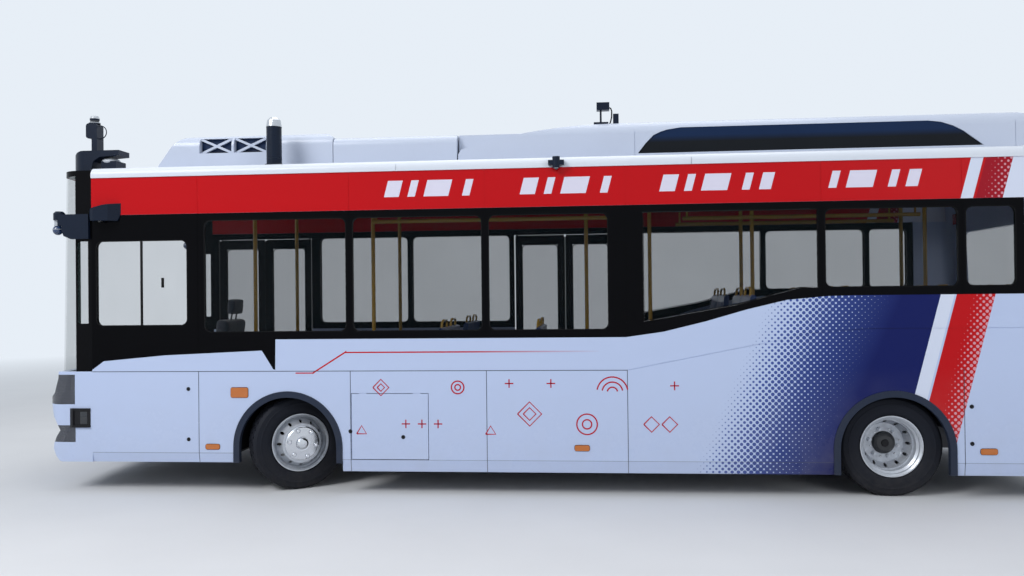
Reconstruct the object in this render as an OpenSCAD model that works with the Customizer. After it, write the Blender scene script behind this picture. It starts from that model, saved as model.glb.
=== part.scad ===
// Low-floor electric airport shuttle bus, 8.3 m long, with the doors on its right side.
// Lengths are in millimetres. X runs from the nose (-X) to the tail (+X), Y from the
// left side (-Y) to the door side (+Y), Z up from the road. Stations along the body
// are distances from the nose and become X through fx().

/* [Body] */
// Length from nose to tail
body_len = 8315; // [8100:5:8700]
// Width over the side panels
body_w = 2430; // [2400:5:2500]
// Height of the top of the roof rails
roof_z = 2665; // [2640:5:2720]
// Thickness of the side walls
wall_t = 45; // [40:1:55]
// Thickness of the moulded front and rear shells
shell_t = 60; // [50:1:70]
// Thickness of the roof panel
roof_t = 40; // [30:1:50]
// Height of the bottom edge of the skirts between and behind the wheels
skirt_z = 178; // [150:1:200]
// Height of the bottom edge of the skirt ahead of the front wheels
nose_skirt_z = 243; // [225:1:260]
// Height of the crease above the skirts between and behind the wheels
crease_z = 270; // [255:1:290]
// Height of the crease above the skirt ahead of the front wheels
nose_crease_z = 320; // [300:5:340]
// How far the skirts turn in below the crease
skirt_turn = 14; // [6:1:20]
// Height of the long panel groove below the belt
groove_z = 980; // [960:1:1000]
// Width of the grooves between panels
groove_w = 5; // [3:1:8]
// Depth of the grooves between panels
groove_d = 4; // [2:1:8]
// Height of the belt line beside the low floor
belt_z = 1240; // [1220:1:1260]
// Height of the belt line beside the raised floor
rear_belt_z = 1548; // [1520:1:1570]
// Height of the top of the window band
band_z = 2272; // [2250:1:2300]
// Height of the bottom of the roof rails
rail_z = 2580; // [2560:1:2600]
// Fit gap between fixed pieces with curved or nested edges
fit = 0.3; // [0.2:0.1:0.5]

/* [Stations from the nose] */
// Joint between the front shell and the side walls
front_joint = 500; // [480:5:560]
// Joint between the side walls and the rear shell
rear_joint = 7850; // [7800:5:7900]
// Front axle
front_axle_x = 2120; // [2100:5:2150]
// Distance between the axles
wheelbase = 4768; // [4700:1:4800]
// Step up from the low floor to the raised rear floor
floor_step_x = 5190; // [5150:5:5250]

/* [Floors and frame] */
// Height of the low floor
floor_z = 340; // [335:1:350]
// Height of the raised rear floor
rear_floor_z = 580; // [570:1:600]
// Thickness of the floor deck
floor_t = 20; // [16:1:24]
// Height of the frame rails under the low floor
frame_h = 65; // [55:1:70]
// Width of the frame rails
frame_w = 70; // [50:5:90]
// Distance of the frame rails from the middle
frame_y = 430; // [400:5:450]

/* [Wheels] */
// Tyre diameter
tyre_d = 767; // [740:1:780]
// Tyre width
tyre_w = 215; // [205:1:225]
// Rim diameter at the bead seats
rim_d = 444.5; // [440:0.5:450]
// Rim width between the flanges
rim_w = 171; // [160:1:175]
// Distance of the front wheels' middle planes from the middle of the bus
front_track_half = 992; // [980:1:1000]
// Distance of the outer rear wheels' middle planes from the middle of the bus
rear_track_half = 1039; // [1030:1:1045]
// Spacing of the twin rear wheels
twin_pitch = 245; // [238:1:250]
// Distance of the kingpins inboard of the front wheels' middle planes
kingpin_in = 60; // [50:1:70]
// Angle that the parked front wheels are turned to the left
park_steer = 34; // [0:1:36]
// Circle of the wheel studs
stud_pcd = 222.25; // [200:0.25:230]
// Number of wheel studs
stud_n = 6; // [6:1:8]
// Number of vent holes in a wheel disc
vent_n = 12; // [8:1:14]

/* [Wheel arches] */
// Outer radius of the arch trims
arch_r = 452; // [445:1:460]
// Width of the arch trims
arch_trim_w = 50; // [40:1:52]
// Height of the arches' centre
arch_z = 368; // [360:1:380]
// Distance of the front arches' centre behind the front axle
arch_back = 30; // [0:1:40]

/* [Doors] */
// Station of the front edge of the front doorway
front_door_x = 560; // [550:5:600]
// Width of the front doorway
front_door_w = 1040; // [1000:5:1060]
// Station of the front edge of the middle doorway
mid_door_x = 3790; // [3700:5:3850]
// Width of the middle doorway
mid_door_w = 1070; // [1000:5:1100]
// Height of the top of the doorways
door_top_z = 2210; // [2150:5:2240]
// Gap round a door leaf
door_gap = 12; // [10:1:16]
// Thickness of a door leaf
leaf_t = 36; // [30:1:40]
// Distance of a leaf's hinge line from its edge
leaf_hinge = 20; // [15:1:25]

/* [Flap and hatch] */
// Gap round the service flap and the rear hatch
lid_gap = 5; // [5:0.5:8]
// Front edge of the service flap
flap_x = 2680; // [2675:1:2700]
// Length of the service flap
flap_len = 620; // [500:5:660]
// Height of the top of the service flap
flap_top_z = 800; // [760:5:820]
// Thickness of the service flap
flap_t = 25; // [18:1:30]
// Width of the rear hatch
hatch_w = 1500; // [1300:10:1560]
// Height of the bottom of the rear hatch
hatch_z = 520; // [500:5:560]
// Height of the top of the rear hatch
hatch_top_z = 1130; // [1080:5:1150]

/* [Roof] */
// Height of the top of the roof equipment covers
cover_top_z = 2995; // [2950:5:3020]
// Width of the roof equipment covers
cover_w = 1730; // [1650:10:1780]
// Wall thickness of the covers
cover_t = 24; // [16:1:30]
// Height of the top of the front cover
front_cover_z = 2973; // [2940:1:2990]
// Height of the top of the low cover
low_cover_z = 2926; // [2880:1:2940]
// Height of the top of the black sensor deck
deck_top_z = 2831; // [2820:1:2840]

/* [Seats] */
// Width of a passenger seat
seat_w = 440; // [420:5:450]
// Height of a seat cushion above its floor
seat_h = 450; // [430:5:470]
// Height of a backrest above its floor
seat_back_h = 980; // [900:10:1020]

/* [Hidden] */

x0 = -body_len / 2;
function fx(d) = x0 + d;
rear_axle_x = front_axle_x + wheelbase;
half_w = body_w / 2;
wall_in = half_w - wall_t;
front_arch_x = front_axle_x + arch_back;
axle_z = tyre_d / 2;
rail_y = half_w - shell_t;
frame_z = floor_z - floor_t - frame_h;
rear_frame_h = 80;
rear_frame_z = rear_floor_z - floor_t - rear_frame_h;
kingpin_y = front_track_half - kingpin_in;
arch_in = arch_r - arch_trim_w;
$fn = 48;

// Panel joints along the sides, as stations from the nose
panel_joints = [1409, 2671, 3771, 4878, 7398];
// Joints of the glass and of the red band above it
band_joints = [1409, 2671, 3771, 4878, 6364, 7398];

// 2D shapes are drawn in X and Z, and become a slab between two distances across the bus
module slab(y_a, y_b) {
  translate([0, max(y_a, y_b), 0]) rotate([90, 0, 0]) linear_extrude(height = abs(y_b - y_a)) children();
}

// 2D shapes are drawn in Y and Z, and run along the bus between two stations
module run(d_a, d_b) {
  translate([fx(d_a), 0, 0]) rotate([90, 0, 90]) linear_extrude(height = d_b - d_a) children();
}

// 2D shapes are drawn in X and Y, and stand between two heights
module rise(z_a, z_b) {
  translate([0, 0, z_a]) linear_extrude(height = z_b - z_a) children();
}

// A box between two stations, two distances across and two heights
module block(d_a, d_b, y_a, y_b, z_a, z_b) {
  translate([fx(d_a), min(y_a, y_b), z_a]) cube([d_b - d_a, abs(y_b - y_a), z_b - z_a]);
}

module round_rect(w, h, r) {
  translate([r, 0]) square([w - 2 * r, h]);
  translate([0, r]) square([w, h - 2 * r]);
  for (x = [r, w - r], y = [r, h - r]) translate([x, y]) circle(r);
}

// A rectangle whose upper two corners are round
module arch_top_rect(w, h, r) {
  translate([-w / 2, 0]) square([w, h - r]);
  translate([-w / 2 + r, 0]) square([w - 2 * r, h]);
  for (x = [-w / 2 + r, w / 2 - r]) translate([x, h - r]) circle(r);
}

module both() {
  children();
  mirror([0, 1, 0]) children();
}

// The nose's face lies this far back from its foremost line: [height, distance]
nose_rows = [[235, 168], [250, 116], [290, 80], [345, 50], [390, 58], [440, 82], [500, 124], [560, 90], [616, 54],
             [700, 32], [745, 0], [808, 68], [928, 108], [992, 112]];
nose_bow_r = 8000;
nose_corner_r = 180;
tail_corner_r = 170;
mask_top_z = 985;
header_z = 2600;
header_top_z = 2645;
screen_set = 104;
screen_tilt = 1.2;
rear_split_z = 1290;
tail_tilt = 2.2;

// Plan of an end, u back from the foremost point: a bowed face with round corners
module end_plan(u, inset, bow, corner, depth) {
  cy = half_w - corner;
  cx = u + bow - sqrt(pow(bow - corner, 2) - cy * cy);
  a = asin(cy / (bow - corner));
  translate([cx, inset - half_w]) square([depth - cx, body_w - 2 * inset]);
  for (s = [-1, 1]) translate([cx, s * cy]) circle(corner - inset, $fn = 360);
  intersection() {
    translate([u + bow, 0]) circle(bow - inset, $fn = 1440);
    polygon([[u + bow, 0], [u + bow - (bow + 200) * cos(a), (bow + 200) * sin(a)],
             [u + bow - (bow + 200) * cos(a), -(bow + 200) * sin(a)]]);
  }
}

// The nose below the windscreen: a plan with round corners, cut by a revolved face
module mask_solid(inset) {
  grow = inset > 0 ? 20 : 0;
  cy = half_w - nose_corner_r;
  cx = nose_bow_r - sqrt(pow(nose_bow_r - nose_corner_r, 2) - cy * cy);
  edge_y = nose_bow_r * cy / (nose_bow_r - nose_corner_r);
  translate([x0, 0, 0]) intersection() {
    rise(nose_skirt_z - grow, mask_top_z + grow) intersection() {
      union() {
        translate([cx, inset - half_w]) square([front_joint + grow - cx, body_w - 2 * inset]);
        translate([-20, -edge_y]) square([front_joint, 2 * edge_y]);
        for (s = [-1, 1]) translate([cx, s * cy]) circle(nose_corner_r - inset, $fn = 180);
      }
      translate([-30, -half_w]) square([front_joint + grow + 30, body_w]);
    }
    translate([nose_bow_r, 0, 0]) rotate([0, 0, 168]) rotate_extrude(angle = 24, $fn = 1440) polygon(concat(
      [[nose_bow_r / 2, nose_rows[0][0] - 30]],
      [for (row = nose_rows) [nose_bow_r - inset - row[1], row[0] + (row[0] > 950 ? grow : 0)]],
      [[nose_bow_r / 2, nose_rows[len(nose_rows) - 1][0] + 30]]));
  }
}

// The leaning block that the windscreen and its frame are cut from
module screen_solid(inset, z_a, z_b) {
  intersection() {
    translate([x0 + screen_set, 0, mask_top_z]) rotate([0, screen_tilt, 0]) translate([-screen_set, 0, -60])
      linear_extrude(height = 1900) end_plan(screen_set, inset, nose_bow_r, nose_corner_r, front_joint + 250);
    block(0, front_joint + (inset > 0 ? 20 : 0), -half_w, half_w, z_a, z_b);
  }
}

module screen_shell(outer, inner, z_a, z_b) {
  difference() {
    screen_solid(outer, z_a, z_b);
    screen_solid(inner, z_a - 1, z_b + 1);
  }
}

// The tail is upright below the split and leans in above it
tail_side = [[rear_joint, skirt_z], [body_len - 90, skirt_z], [body_len - 30, 225], [body_len + 20, 350], [body_len + 20, 2530],
             [body_len - 110, 2600], [body_len - 170, roof_z], [rear_joint, roof_z]];

// Plan of the flat tail with round corners
module tail_plan(inset, depth) {
  translate([inset, tail_corner_r - half_w]) square([depth - inset, body_w - 2 * tail_corner_r]);
  translate([tail_corner_r, inset - half_w]) square([depth - tail_corner_r, body_w - 2 * inset]);
  for (s = [-1, 1]) translate([tail_corner_r, s * (half_w - tail_corner_r)]) circle(tail_corner_r - inset, $fn = 180);
}

module tail_form(inset, upright) {
  if (upright) {
    translate([x0, 0, skirt_z - 20]) linear_extrude(height = rear_split_z - skirt_z + 60)
      tail_plan(inset, body_len - rear_joint + 20);
  } else {
    translate([x0, 0, rear_split_z]) rotate([0, tail_tilt, 0]) translate([0, 0, -60]) linear_extrude(height = 1560)
      tail_plan(inset, body_len - rear_joint + 150);
  }
}

// Tail between two heights; spare lets an inner solid reach past the outer one
module tail_solid(inset, z_a, z_b, spare = 0) {
  intersection() {
    mirror([1, 0, 0]) tail_form(inset, z_a < rear_split_z);
    slab(-half_w - 50, half_w + 50)
      polygon([for (p = tail_side) [fx(p[0] - (p[0] < rear_joint + 1 ? spare : 0)),
                                    p[1] + (p[1] == skirt_z ? -spare : p[1] == roof_z ? spare : 0)]]);
    block(rear_joint - spare, body_len + 50, -half_w - 60, half_w + 60, z_a - spare, z_b + spare);
  }
}

module tail_shell(outer, inner, z_a, z_b) {
  difference() {
    tail_solid(outer, z_a, z_b);
    tail_solid(inner, z_a, z_b, 20);
  }
}

// Outline of a wheel arch, drawn in X and Z about the middle of the arch
module arch_shape(r) {
  translate([0, arch_z]) circle(r, $fn = 96);
  translate([-r, 0]) square([2 * r, arch_z]);
}

// Belt line of the left side: [station, height] from the front joint to the rear joint
belt_left = [[front_joint, 998], [600, 1069], [1123, 1115], [1941, 1150], [2036, groove_z + 18], [2052, groove_z + 14],
             [2056, belt_z], [4870, belt_z], [5160, 1280], [5480, 1357], [5800, 1448], [6100, 1518], [6400, rear_belt_z - 4],
             [6600, rear_belt_z], [rear_joint, rear_belt_z]];
// Belt line of the door side
belt_right = [[front_joint, belt_z], [4880, belt_z], [5160, 1280], [5480, 1357], [5800, 1448], [6100, 1518],
              [6400, rear_belt_z - 4], [6600, rear_belt_z], [rear_joint, rear_belt_z]];

function at_x(points) = [for (p = points) [fx(p[0]), p[1]]];
function backwards(points) = [for (i = [len(points) - 1:-1:0]) points[i]];

// Cross-section of a side wall with its skirt turned in below the crease
module wall_section(bottom, crease) {
  polygon([[wall_in - skirt_turn, bottom], [half_w - skirt_turn, bottom], [half_w, crease],
           [half_w, roof_z], [wall_in, roof_z], [wall_in, crease]]);
}

// Everything below the belt on one side, before its openings are cut
module lower_wall(belt) {
  front_end = front_arch_x;
  intersection() {
    slab(half_w + 1, wall_in - skirt_turn - 1) difference() {
      polygon(concat(
        [[fx(front_joint), nose_skirt_z], [fx(front_end), nose_skirt_z], [fx(front_end), skirt_z], [fx(rear_joint), skirt_z]],
        backwards(at_x(belt))));
      for (d = [front_arch_x, rear_axle_x]) translate([fx(d), 0]) arch_shape(arch_r + fit);
    }
    union() {
      run(front_joint, front_end) wall_section(nose_skirt_z, nose_crease_z);
      run(front_end, rear_joint) wall_section(skirt_z, crease_z);
    }
  }
}

// Grooves between the panels of one side
module wall_grooves(joints, z_top) {
  for (d = joints) {
    block(d - groove_w / 2, d + groove_w / 2, half_w - groove_d, half_w + 5, 0, z_top);
  }
  block(front_joint - 1, 4878, half_w - groove_d, half_w + 5, groove_z, groove_z + groove_w);
  slab(half_w - groove_d, half_w + 5) {
    polygon(at_x([[4877, groove_z], [5900, 1180], [6300, 1262], [6700, 1290], [rear_joint + 1, 1290],
                  [rear_joint + 1, 1290 + groove_w], [6700, 1290 + groove_w], [6300, 1262 + groove_w],
                  [5900, 1180 + groove_w], [4877, groove_z + groove_w]]));
  }
}

module flap_outline(grow) {
  translate([fx(flap_x) - grow, crease_z + 8 - grow]) square([flap_len + 2 * grow, flap_top_z - crease_z - 8 + 2 * grow]);
}

module doorway(d, w, z_a) {
  block(d, d + w, wall_in - 30, half_w + 30, z_a, door_top_z);
}

// Places and sizes of the side lamps: [station, height, length, depth of lens]
side_lamps = [[1752, 811, 143, 81], [1524, 371, 118, 42], [4520, 374, 116, 44], [7570, 361, 122, 44]];
side_lamps_right = [[1752, 811, 143, 81], [3300, 374, 116, 44], [7570, 361, 122, 44]];

module lamp_pockets(lamps, grow) {
  for (l = lamps) {
    translate([fx(l[0]) - l[2] / 2 - grow, 0, l[1] - l[3] / 2 - grow])
      slab(half_w - 14 - grow, half_w + 20) round_rect(l[2] + 2 * grow, l[3] + 2 * grow, 14);
  }
}

module left_side_wall() {
  color([0.8, 0.88, 0.98]) mirror([0, 1, 0]) difference() {
    lower_wall(belt_left);
    wall_grooves(panel_joints, groove_z);
    slab(half_w - flap_t - 3, half_w + 5) flap_outline(lid_gap);
    lamp_pockets(side_lamps, fit);
  }
}

module right_side_wall() {
  color([0.8, 0.88, 0.98]) difference() {
    lower_wall(belt_right);
    wall_grooves(panel_joints, groove_z);
    doorway(front_door_x, front_door_w, floor_z);
    doorway(mid_door_x, mid_door_w, floor_z);
    lamp_pockets(side_lamps_right, fit);
  }
}

// Side windows: [front edge, rear edge, bottom, top] as stations and heights
windows_left = [[536, 1320, 1358, 2059], [1460, 2646, 1300, 2215], [2696, 3746, 1300, 2215], [3796, 4740, 1300, 2215],
                [5010, 6339, 1610, 2215], [6389, 7373, 1610, 2215], [7423, rear_joint - 60, 1610, 2215]];
windows_right = [[1690, 2646, 1300, 2215], [2696, 3740, 1300, 2215],
                 [5010, 6339, 1610, 2215], [6389, 7373, 1610, 2215], [7423, rear_joint - 60, 1610, 2215]];
window_r = 55;
glass_t = 8;

// The raised floor's window starts with a slanted foot, which follows the belt
module window_shape(w, grow) {
  front = fx(w[0]) - grow;
  if (w[0] > 5000 && w[0] < 5100) {
    polygon([[front, 1360 - 1.2 * grow], [front, w[3] + grow], [fx(w[1]) + grow, w[3] + grow], [fx(w[1]) + grow, w[2] - grow],
             [fx(6200), w[2] - grow], [fx(5700), 1478 - 1.2 * grow]]);
  } else {
    translate([front, w[2] - grow]) round_rect(w[1] - w[0] + 2 * grow, w[3] - w[2] + 2 * grow, window_r + grow);
  }
}

module window_frame(belt, windows) {
  difference() {
    slab(half_w, wall_in) polygon(concat(at_x(belt), [[fx(rear_joint), band_z], [fx(front_joint), band_z]]));
    for (w = windows) slab(half_w + 5, wall_in - 5) window_shape(w, 0);
    for (d = band_joints) block(d - 3, d + 3, half_w - 2, half_w + 5, 0, band_z);
  }
}

module left_window_frame() {
  color([0.03, 0.03, 0.035]) mirror([0, 1, 0]) window_frame(belt_left, windows_left);
}

module right_window_frame() {
  color([0.03, 0.03, 0.035]) difference() {
    window_frame(belt_right, windows_right);
    doorway(front_door_x, front_door_w, floor_z);
    doorway(mid_door_x, mid_door_w, floor_z);
  }
}

module glazing(windows) {
  for (w = windows) slab(half_w - 3, half_w - 3 - glass_t) window_shape(w, -fit);
}

module left_glazing() {
  color([0.1, 0.14, 0.15, 0.5]) mirror([0, 1, 0]) glazing(windows_left);
}

module right_glazing() {
  color([0.1, 0.14, 0.15, 0.5]) glazing(windows_right);
}

rail_r = 62;
rail_lip = 8;

// Red band with the round roof rail above it, drawn in Y and Z
module cantrail_section() {
  translate([rail_y, band_z]) square([shell_t, rail_z - band_z]);
  translate([rail_y, rail_z]) square([shell_t - rail_r, roof_z - rail_z]);
  intersection() {
    translate([rail_y, rail_z]) square([shell_t + rail_lip + 10, roof_z - rail_z]);
    union() {
      translate([half_w + rail_lip - rail_r, roof_z - rail_r]) circle(rail_r, $fn = 64);
      translate([rail_y, rail_z]) square([shell_t + rail_lip - rail_r, roof_z - rail_z]);
      translate([rail_y, rail_z]) square([shell_t + rail_lip, roof_z - rail_z - rail_r]);
    }
  }
}

module cantrail() {
  difference() {
    run(front_joint, rear_joint) cantrail_section();
    for (d = band_joints) block(d - 2, d + 2, half_w - 2, half_w + 1, band_z - 1, rail_z);
    for (d = [3060, 5390]) block(d - 2, d + 2, half_w - 3, half_w + rail_lip + 1, rail_z - 1, roof_z + 1);
  }
}

module left_cantrail() {
  color([0.8, 0.03, 0.06]) mirror([0, 1, 0]) cantrail();
}

module right_cantrail() {
  color([0.8, 0.03, 0.06]) cantrail();
}

module roof_panel() {
  color([0.86, 0.9, 0.95]) block(front_joint, rear_joint, -rail_y, rail_y, roof_z - roof_t, roof_z);
}

screen_back = 360;
pillar_t = 50;

// Outlines of the lamps in the nose, seen from the front in Y and Z: [across, height]
head_lamp = [[640, 905], [760, 715], [1260, 715], [1260, 962], [900, 945]];
fog_lamp = [[860, 393], [1260, 405], [1260, 542], [1120, 542], [1060, 450], [860, 440]];

module lamp_block(outline, back) {
  run(-20, back) polygon(outline);
}

tow_y = 430;
tow_z = 330;
tow_r = 18;
tow_wall = 14;
tow_deep = 90;

module tow_socket_hole(d_a, d_b, y) {
  translate([fx(d_a), y, tow_z]) rotate([0, 90, 0]) cylinder(h = d_b - d_a, r = tow_r + tow_wall + 6);
}

head_lamp_back = 348;
fog_lamp_back = 352;

// The sensor box that wraps round each front corner, as [station, across] in plan
sensor_plan = [[482, 1100], [482, 1228], [330, 1228], [196, 1160], [140, 1080], [225, 1030]];
sensor_z = [525, 682];

module sensor_box(grow) {
  rise(sensor_z[0] - grow, sensor_z[1] + grow)
    polygon([for (p = sensor_plan) [fx(p[0]) + (p[0] > 400 ? grow : 0), p[1] + (p[1] > 1200 ? grow : 0)]]);
}

module front_mask() {
  color([0.8, 0.88, 0.98]) difference() {
    mask_solid(0);
    mask_solid(shell_t);
    both() {
      lamp_block(head_lamp, head_lamp_back);
      lamp_block(fog_lamp, fog_lamp_back);
      sensor_box(fit);
    }
    block(-20, 160, -260, 260, 304, 372);
    tow_socket_hole(-20, 200, tow_y);
  }
}

module quarter_light(grow) {
  both() block(376 - grow, 470 + grow, half_w - pillar_t - 10, half_w + 10, 1380 - grow, 2060 + grow);
}

module windscreen_frame() {
  color([0.03, 0.03, 0.035]) {
    difference() {
      intersection() {
        screen_shell(0, pillar_t, mask_top_z, header_z);
        block(screen_back + 2, front_joint, -half_w, half_w, mask_top_z, header_z);
      }
      quarter_light(0);
    }
    difference() {
      screen_solid(0, header_z, header_top_z);
      screen_solid(shell_t, header_z - 1, roof_z - roof_t);
    }
  }
}

module windscreen() {
  color([0.2, 0.3, 0.3, 0.5]) {
    intersection() {
      screen_shell(2, 14, mask_top_z, header_z);
      block(-1, screen_back, -half_w, half_w, mask_top_z, header_z);
    }
    both() block(376 + fit, 470 - fit, half_w - 12, half_w - 4, 1380 + fit, 2060 - fit);
  }
}

// Hinge pin of a lid: it touches the skin and stays inside the gap round the lid
lid_pin_r = lid_gap - 2 * fit;

module hatch_block(grow) {
  block(body_len - 320, body_len + 10, -hatch_w / 2 - grow, hatch_w / 2 + grow, hatch_z - grow, hatch_top_z + grow);
}

tail_lamp_y = 930;
tail_lamp_w = 180;

// Heights of the tail lamp clusters: [bottom, top]
tail_lamp_z = [[640, 1180], [2230, 2330]];

module tail_lamp_block(grow) {
  for (z = tail_lamp_z)
    block(body_len - 300, body_len + 10, tail_lamp_y - tail_lamp_w / 2 - grow, tail_lamp_y + tail_lamp_w / 2 + grow,
          z[0] - grow, z[1] + grow);
}

module rear_panel() {
  color([0.8, 0.88, 0.98]) difference() {
    tail_shell(0, shell_t, skirt_z, rear_split_z);
    hatch_block(lid_gap);
    both() tail_lamp_block(fit);
    tow_socket_hole(body_len - 200, body_len + 20, -tow_y);
    block(body_len - 40, body_len + 20, -270, 270, 340, 460);
  }
}

module rear_window_block(grow) {
  translate([fx(body_len - 320), 0, 0]) rotate([90, 0, 90]) linear_extrude(height = 330)
    translate([-950 - grow, 1480 - grow]) round_rect(1900 + 2 * grow, 660 + 2 * grow, 60 + grow);
}

module rear_upper() {
  color([0.8, 0.88, 0.98]) difference() {
    union() {
      tail_shell(0, shell_t, rear_split_z, roof_z);
      tail_solid(0, roof_z - roof_t, roof_z);
    }
    rear_window_block(0);
    both() tail_lamp_block(fit);
  }
}

module rear_window() {
  color([0.1, 0.14, 0.15, 0.5]) intersection() {
    mirror([1, 0, 0]) translate([x0, 0, rear_split_z]) rotate([0, tail_tilt, 0]) linear_extrude(height = 1100)
      difference() {
        tail_plan(3, 300);
        tail_plan(3 + glass_t, 320);
      }
    rear_window_block(-fit);
  }
}

module rear_hatch() {
  color([0.8, 0.88, 0.98]) difference() {
    intersection() {
      tail_solid(0, skirt_z, rear_split_z);
      hatch_block(0);
      block(body_len - 55, body_len + 10, -half_w, half_w, skirt_z, rear_split_z);
    }
    for (z = [600:45:780]) block(body_len - 12, body_len + 20, -620, 620, z, z + 16);
  }
  color([0.8, 0.88, 0.98]) translate([fx(body_len) - lid_pin_r, -100, hatch_top_z]) rotate([-90, 0, 0])
    cylinder(h = 200, r = lid_pin_r);
}

module arch_trims() {
  color([0.16, 0.19, 0.22]) for (d = [front_arch_x, rear_axle_x]) both() difference() {
    translate([fx(d), 0, 0]) slab(half_w + 7, wall_in + 4) difference() {
      arch_shape(arch_r);
      arch_shape(arch_in);
    }
    block(d - arch_r - 1, d + arch_r + 1, 0, half_w + 20, -arch_r, d == front_arch_x ? nose_skirt_z : skirt_z);
  }
}

module front_lamps() {
  color([0.75, 0.8, 0.85]) both() intersection() {
    difference() {
      mask_solid(0);
      mask_solid(shell_t);
      sensor_box(fit);
    }
    union() {
      lamp_block(head_lamp, head_lamp_back - fit);
      lamp_block(fog_lamp, fog_lamp_back - fit);
    }
  }
}

module corner_sensors() {
  color([0.08, 0.08, 0.09]) both() difference() {
    sensor_box(0);
    block(340, 500, half_w + 4, half_w + 30, sensor_z[0] + 18, sensor_z[1] - 18);
  }
}

module side_markers() {
  color([1, 0.45, 0.05]) for (side = [-1, 1]) for (l = side < 0 ? side_lamps : side_lamps_right)
    translate([fx(l[0]) - l[2] / 2, 0, l[1] - l[3] / 2])
      slab(side * (half_w - 14), side * (half_w + 6)) round_rect(l[2], l[3], 14);
}

module tail_lamps() {
  color([0.7, 0.03, 0.03]) both() for (z = [skirt_z, rear_split_z]) intersection() {
    tail_solid(0, z, z == skirt_z ? rear_split_z : roof_z);
    tail_lamp_block(0);
    block(body_len - 130, body_len + 10, 0, half_w, skirt_z, roof_z);
  }
}

// Wedge pods on the sides, and arms with a hanging camera on the front corners
wedge_plan = [[500, half_w], [500, half_w + 30], [540, half_w + 85], [565, half_w + 92], [680, half_w + 70], [757, half_w]];
wedge_side = [[499, 2262], [540, 2222], [735, 2222], [758, 2290], [758, 2368], [640, 2352], [499, 2310]];
arm_side = [[225, 2283], [490, 2283], [490, 2078], [340, 2078], [276, 2104], [258, 2150], [262, 2191], [225, 2191]];
camera_at = [207, half_w - 25];

module camera_pods() {
  color([0.04, 0.05, 0.09]) both() {
    intersection() {
      rise(2222, 2385) polygon(at_x(wedge_plan));
      slab(half_w - 1, half_w + 120) polygon(at_x(wedge_side));
    }
    difference() {
      slab(half_w - 60, half_w + 30) polygon(at_x(arm_side));
      screen_solid(-fit, 2000, header_top_z);
    }
    translate([fx(camera_at[0]), camera_at[1], 0]) {
      translate([0, 0, 2240]) cylinder(h = 56, r = 46);
      translate([0, 0, 2296]) cylinder(h = 16, r1 = 46, r2 = 30);
      translate([-12, 0, 2180]) cylinder(h = 62, r = 27);
      translate([-12, 0, 2158]) sphere(r = 41);
    }
  }
}

// Side outline of the black deck's outer platforms over the windscreen, as [station, height]
deck_side = [[226, 2645], [229, 2768], [246, 2798], [290, 2820], [336, deck_top_z], [672, deck_top_z], [672, 2788],
             [500, 2776], [446, 2738], [424, 2645]];
// Low bridge between the platforms
bridge_side = [[226, 2645], [232, 2690], [260, 2702], [440, 2702], [480, 2680], [480, 2645]];
deck_half = 1090;
deck_in = 915;
deck_base_z = 2742;

module deck_plan(inset) {
  corner_r = 150;
  difference() {
    translate([fx(226 + inset), -deck_half + inset]) square([672 - 226 - 2 * inset, 2 * (deck_half - inset)]);
    for (side = [-1, 1]) difference() {
      translate([fx(226 + inset), side * (deck_half - inset - corner_r / 2)]) square([2 * corner_r, corner_r + 1], center = true);
      translate([fx(226 + inset) + corner_r, side * (deck_half - inset - corner_r)]) circle(corner_r);
    }
  }
}

module sensor_deck() {
  color([0.03, 0.04, 0.07]) {
    intersection() {
      union() {
        both() slab(deck_in, deck_half) polygon(at_x(deck_side));
        slab(-deck_in - 1, deck_in + 1) polygon(at_x(bridge_side));
      }
      rise(2640, 2840) deck_plan(0);
    }
    both() {
      block(front_joint + 6, 640, deck_in, 1070, roof_z, deck_base_z);
      translate([fx(556), 1000, deck_base_z]) rotate_extrude()
        polygon(concat([[0, 0]], [for (a = [0:15:75]) [76 * cos(a), 34 * sin(a)]], [[0, 34]]));
    }
  }
}

// A tower with its head stepped forward, a round sensor on top and a loop aerial behind
tower_x = 412;
tower_y = 1000;
tower_top = 3069;

module sensor_tower() {
  slab(-52, 52) translate([fx(tower_x) - 58, 0]) {
    translate([58, deck_top_z]) square([48, tower_top - deck_top_z - 30]);
    translate([8, tower_top - 128]) round_rect(98, 128, 24);
  }
  translate([fx(tower_x), 0, tower_top - 1]) cylinder(h = 10, r = 46);
  translate([fx(tower_x), 0, tower_top + 9]) cylinder(h = 22, r = 36);
  translate([fx(tower_x), 0, tower_top + 31]) cylinder(h = 14, r = 39);
  translate([fx(tower_x), 0, tower_top + 45]) cylinder(h = 22, r1 = 39, r2 = 30);
  translate([fx(tower_x) + 48, 0, tower_top - 70]) rotate([90, 0, 0]) rotate([0, 0, -90])
    rotate_extrude(angle = 180, $fn = 48) translate([56, 0]) circle(4, $fn = 16);
}

post_x = 2010;
post_y = 1080;
post_r = 62;
post_top = 3062;

// Block on the main cover, whose underside follows the cover's rise
module on_main_cover(d_a, d_b, y_a, y_b, z_top) {
  stations = concat([d_a], [for (p = main_cover_side) if (p[0] > d_a && p[0] < d_b) p[0]], [d_b]);
  foot = [for (d = stations) [d, lookup(d, main_cover_side) + fit]];
  slab(y_a, y_b) polygon(at_x(concat(foot, [[d_b, z_top], [d_a, z_top]])));
}

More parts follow.
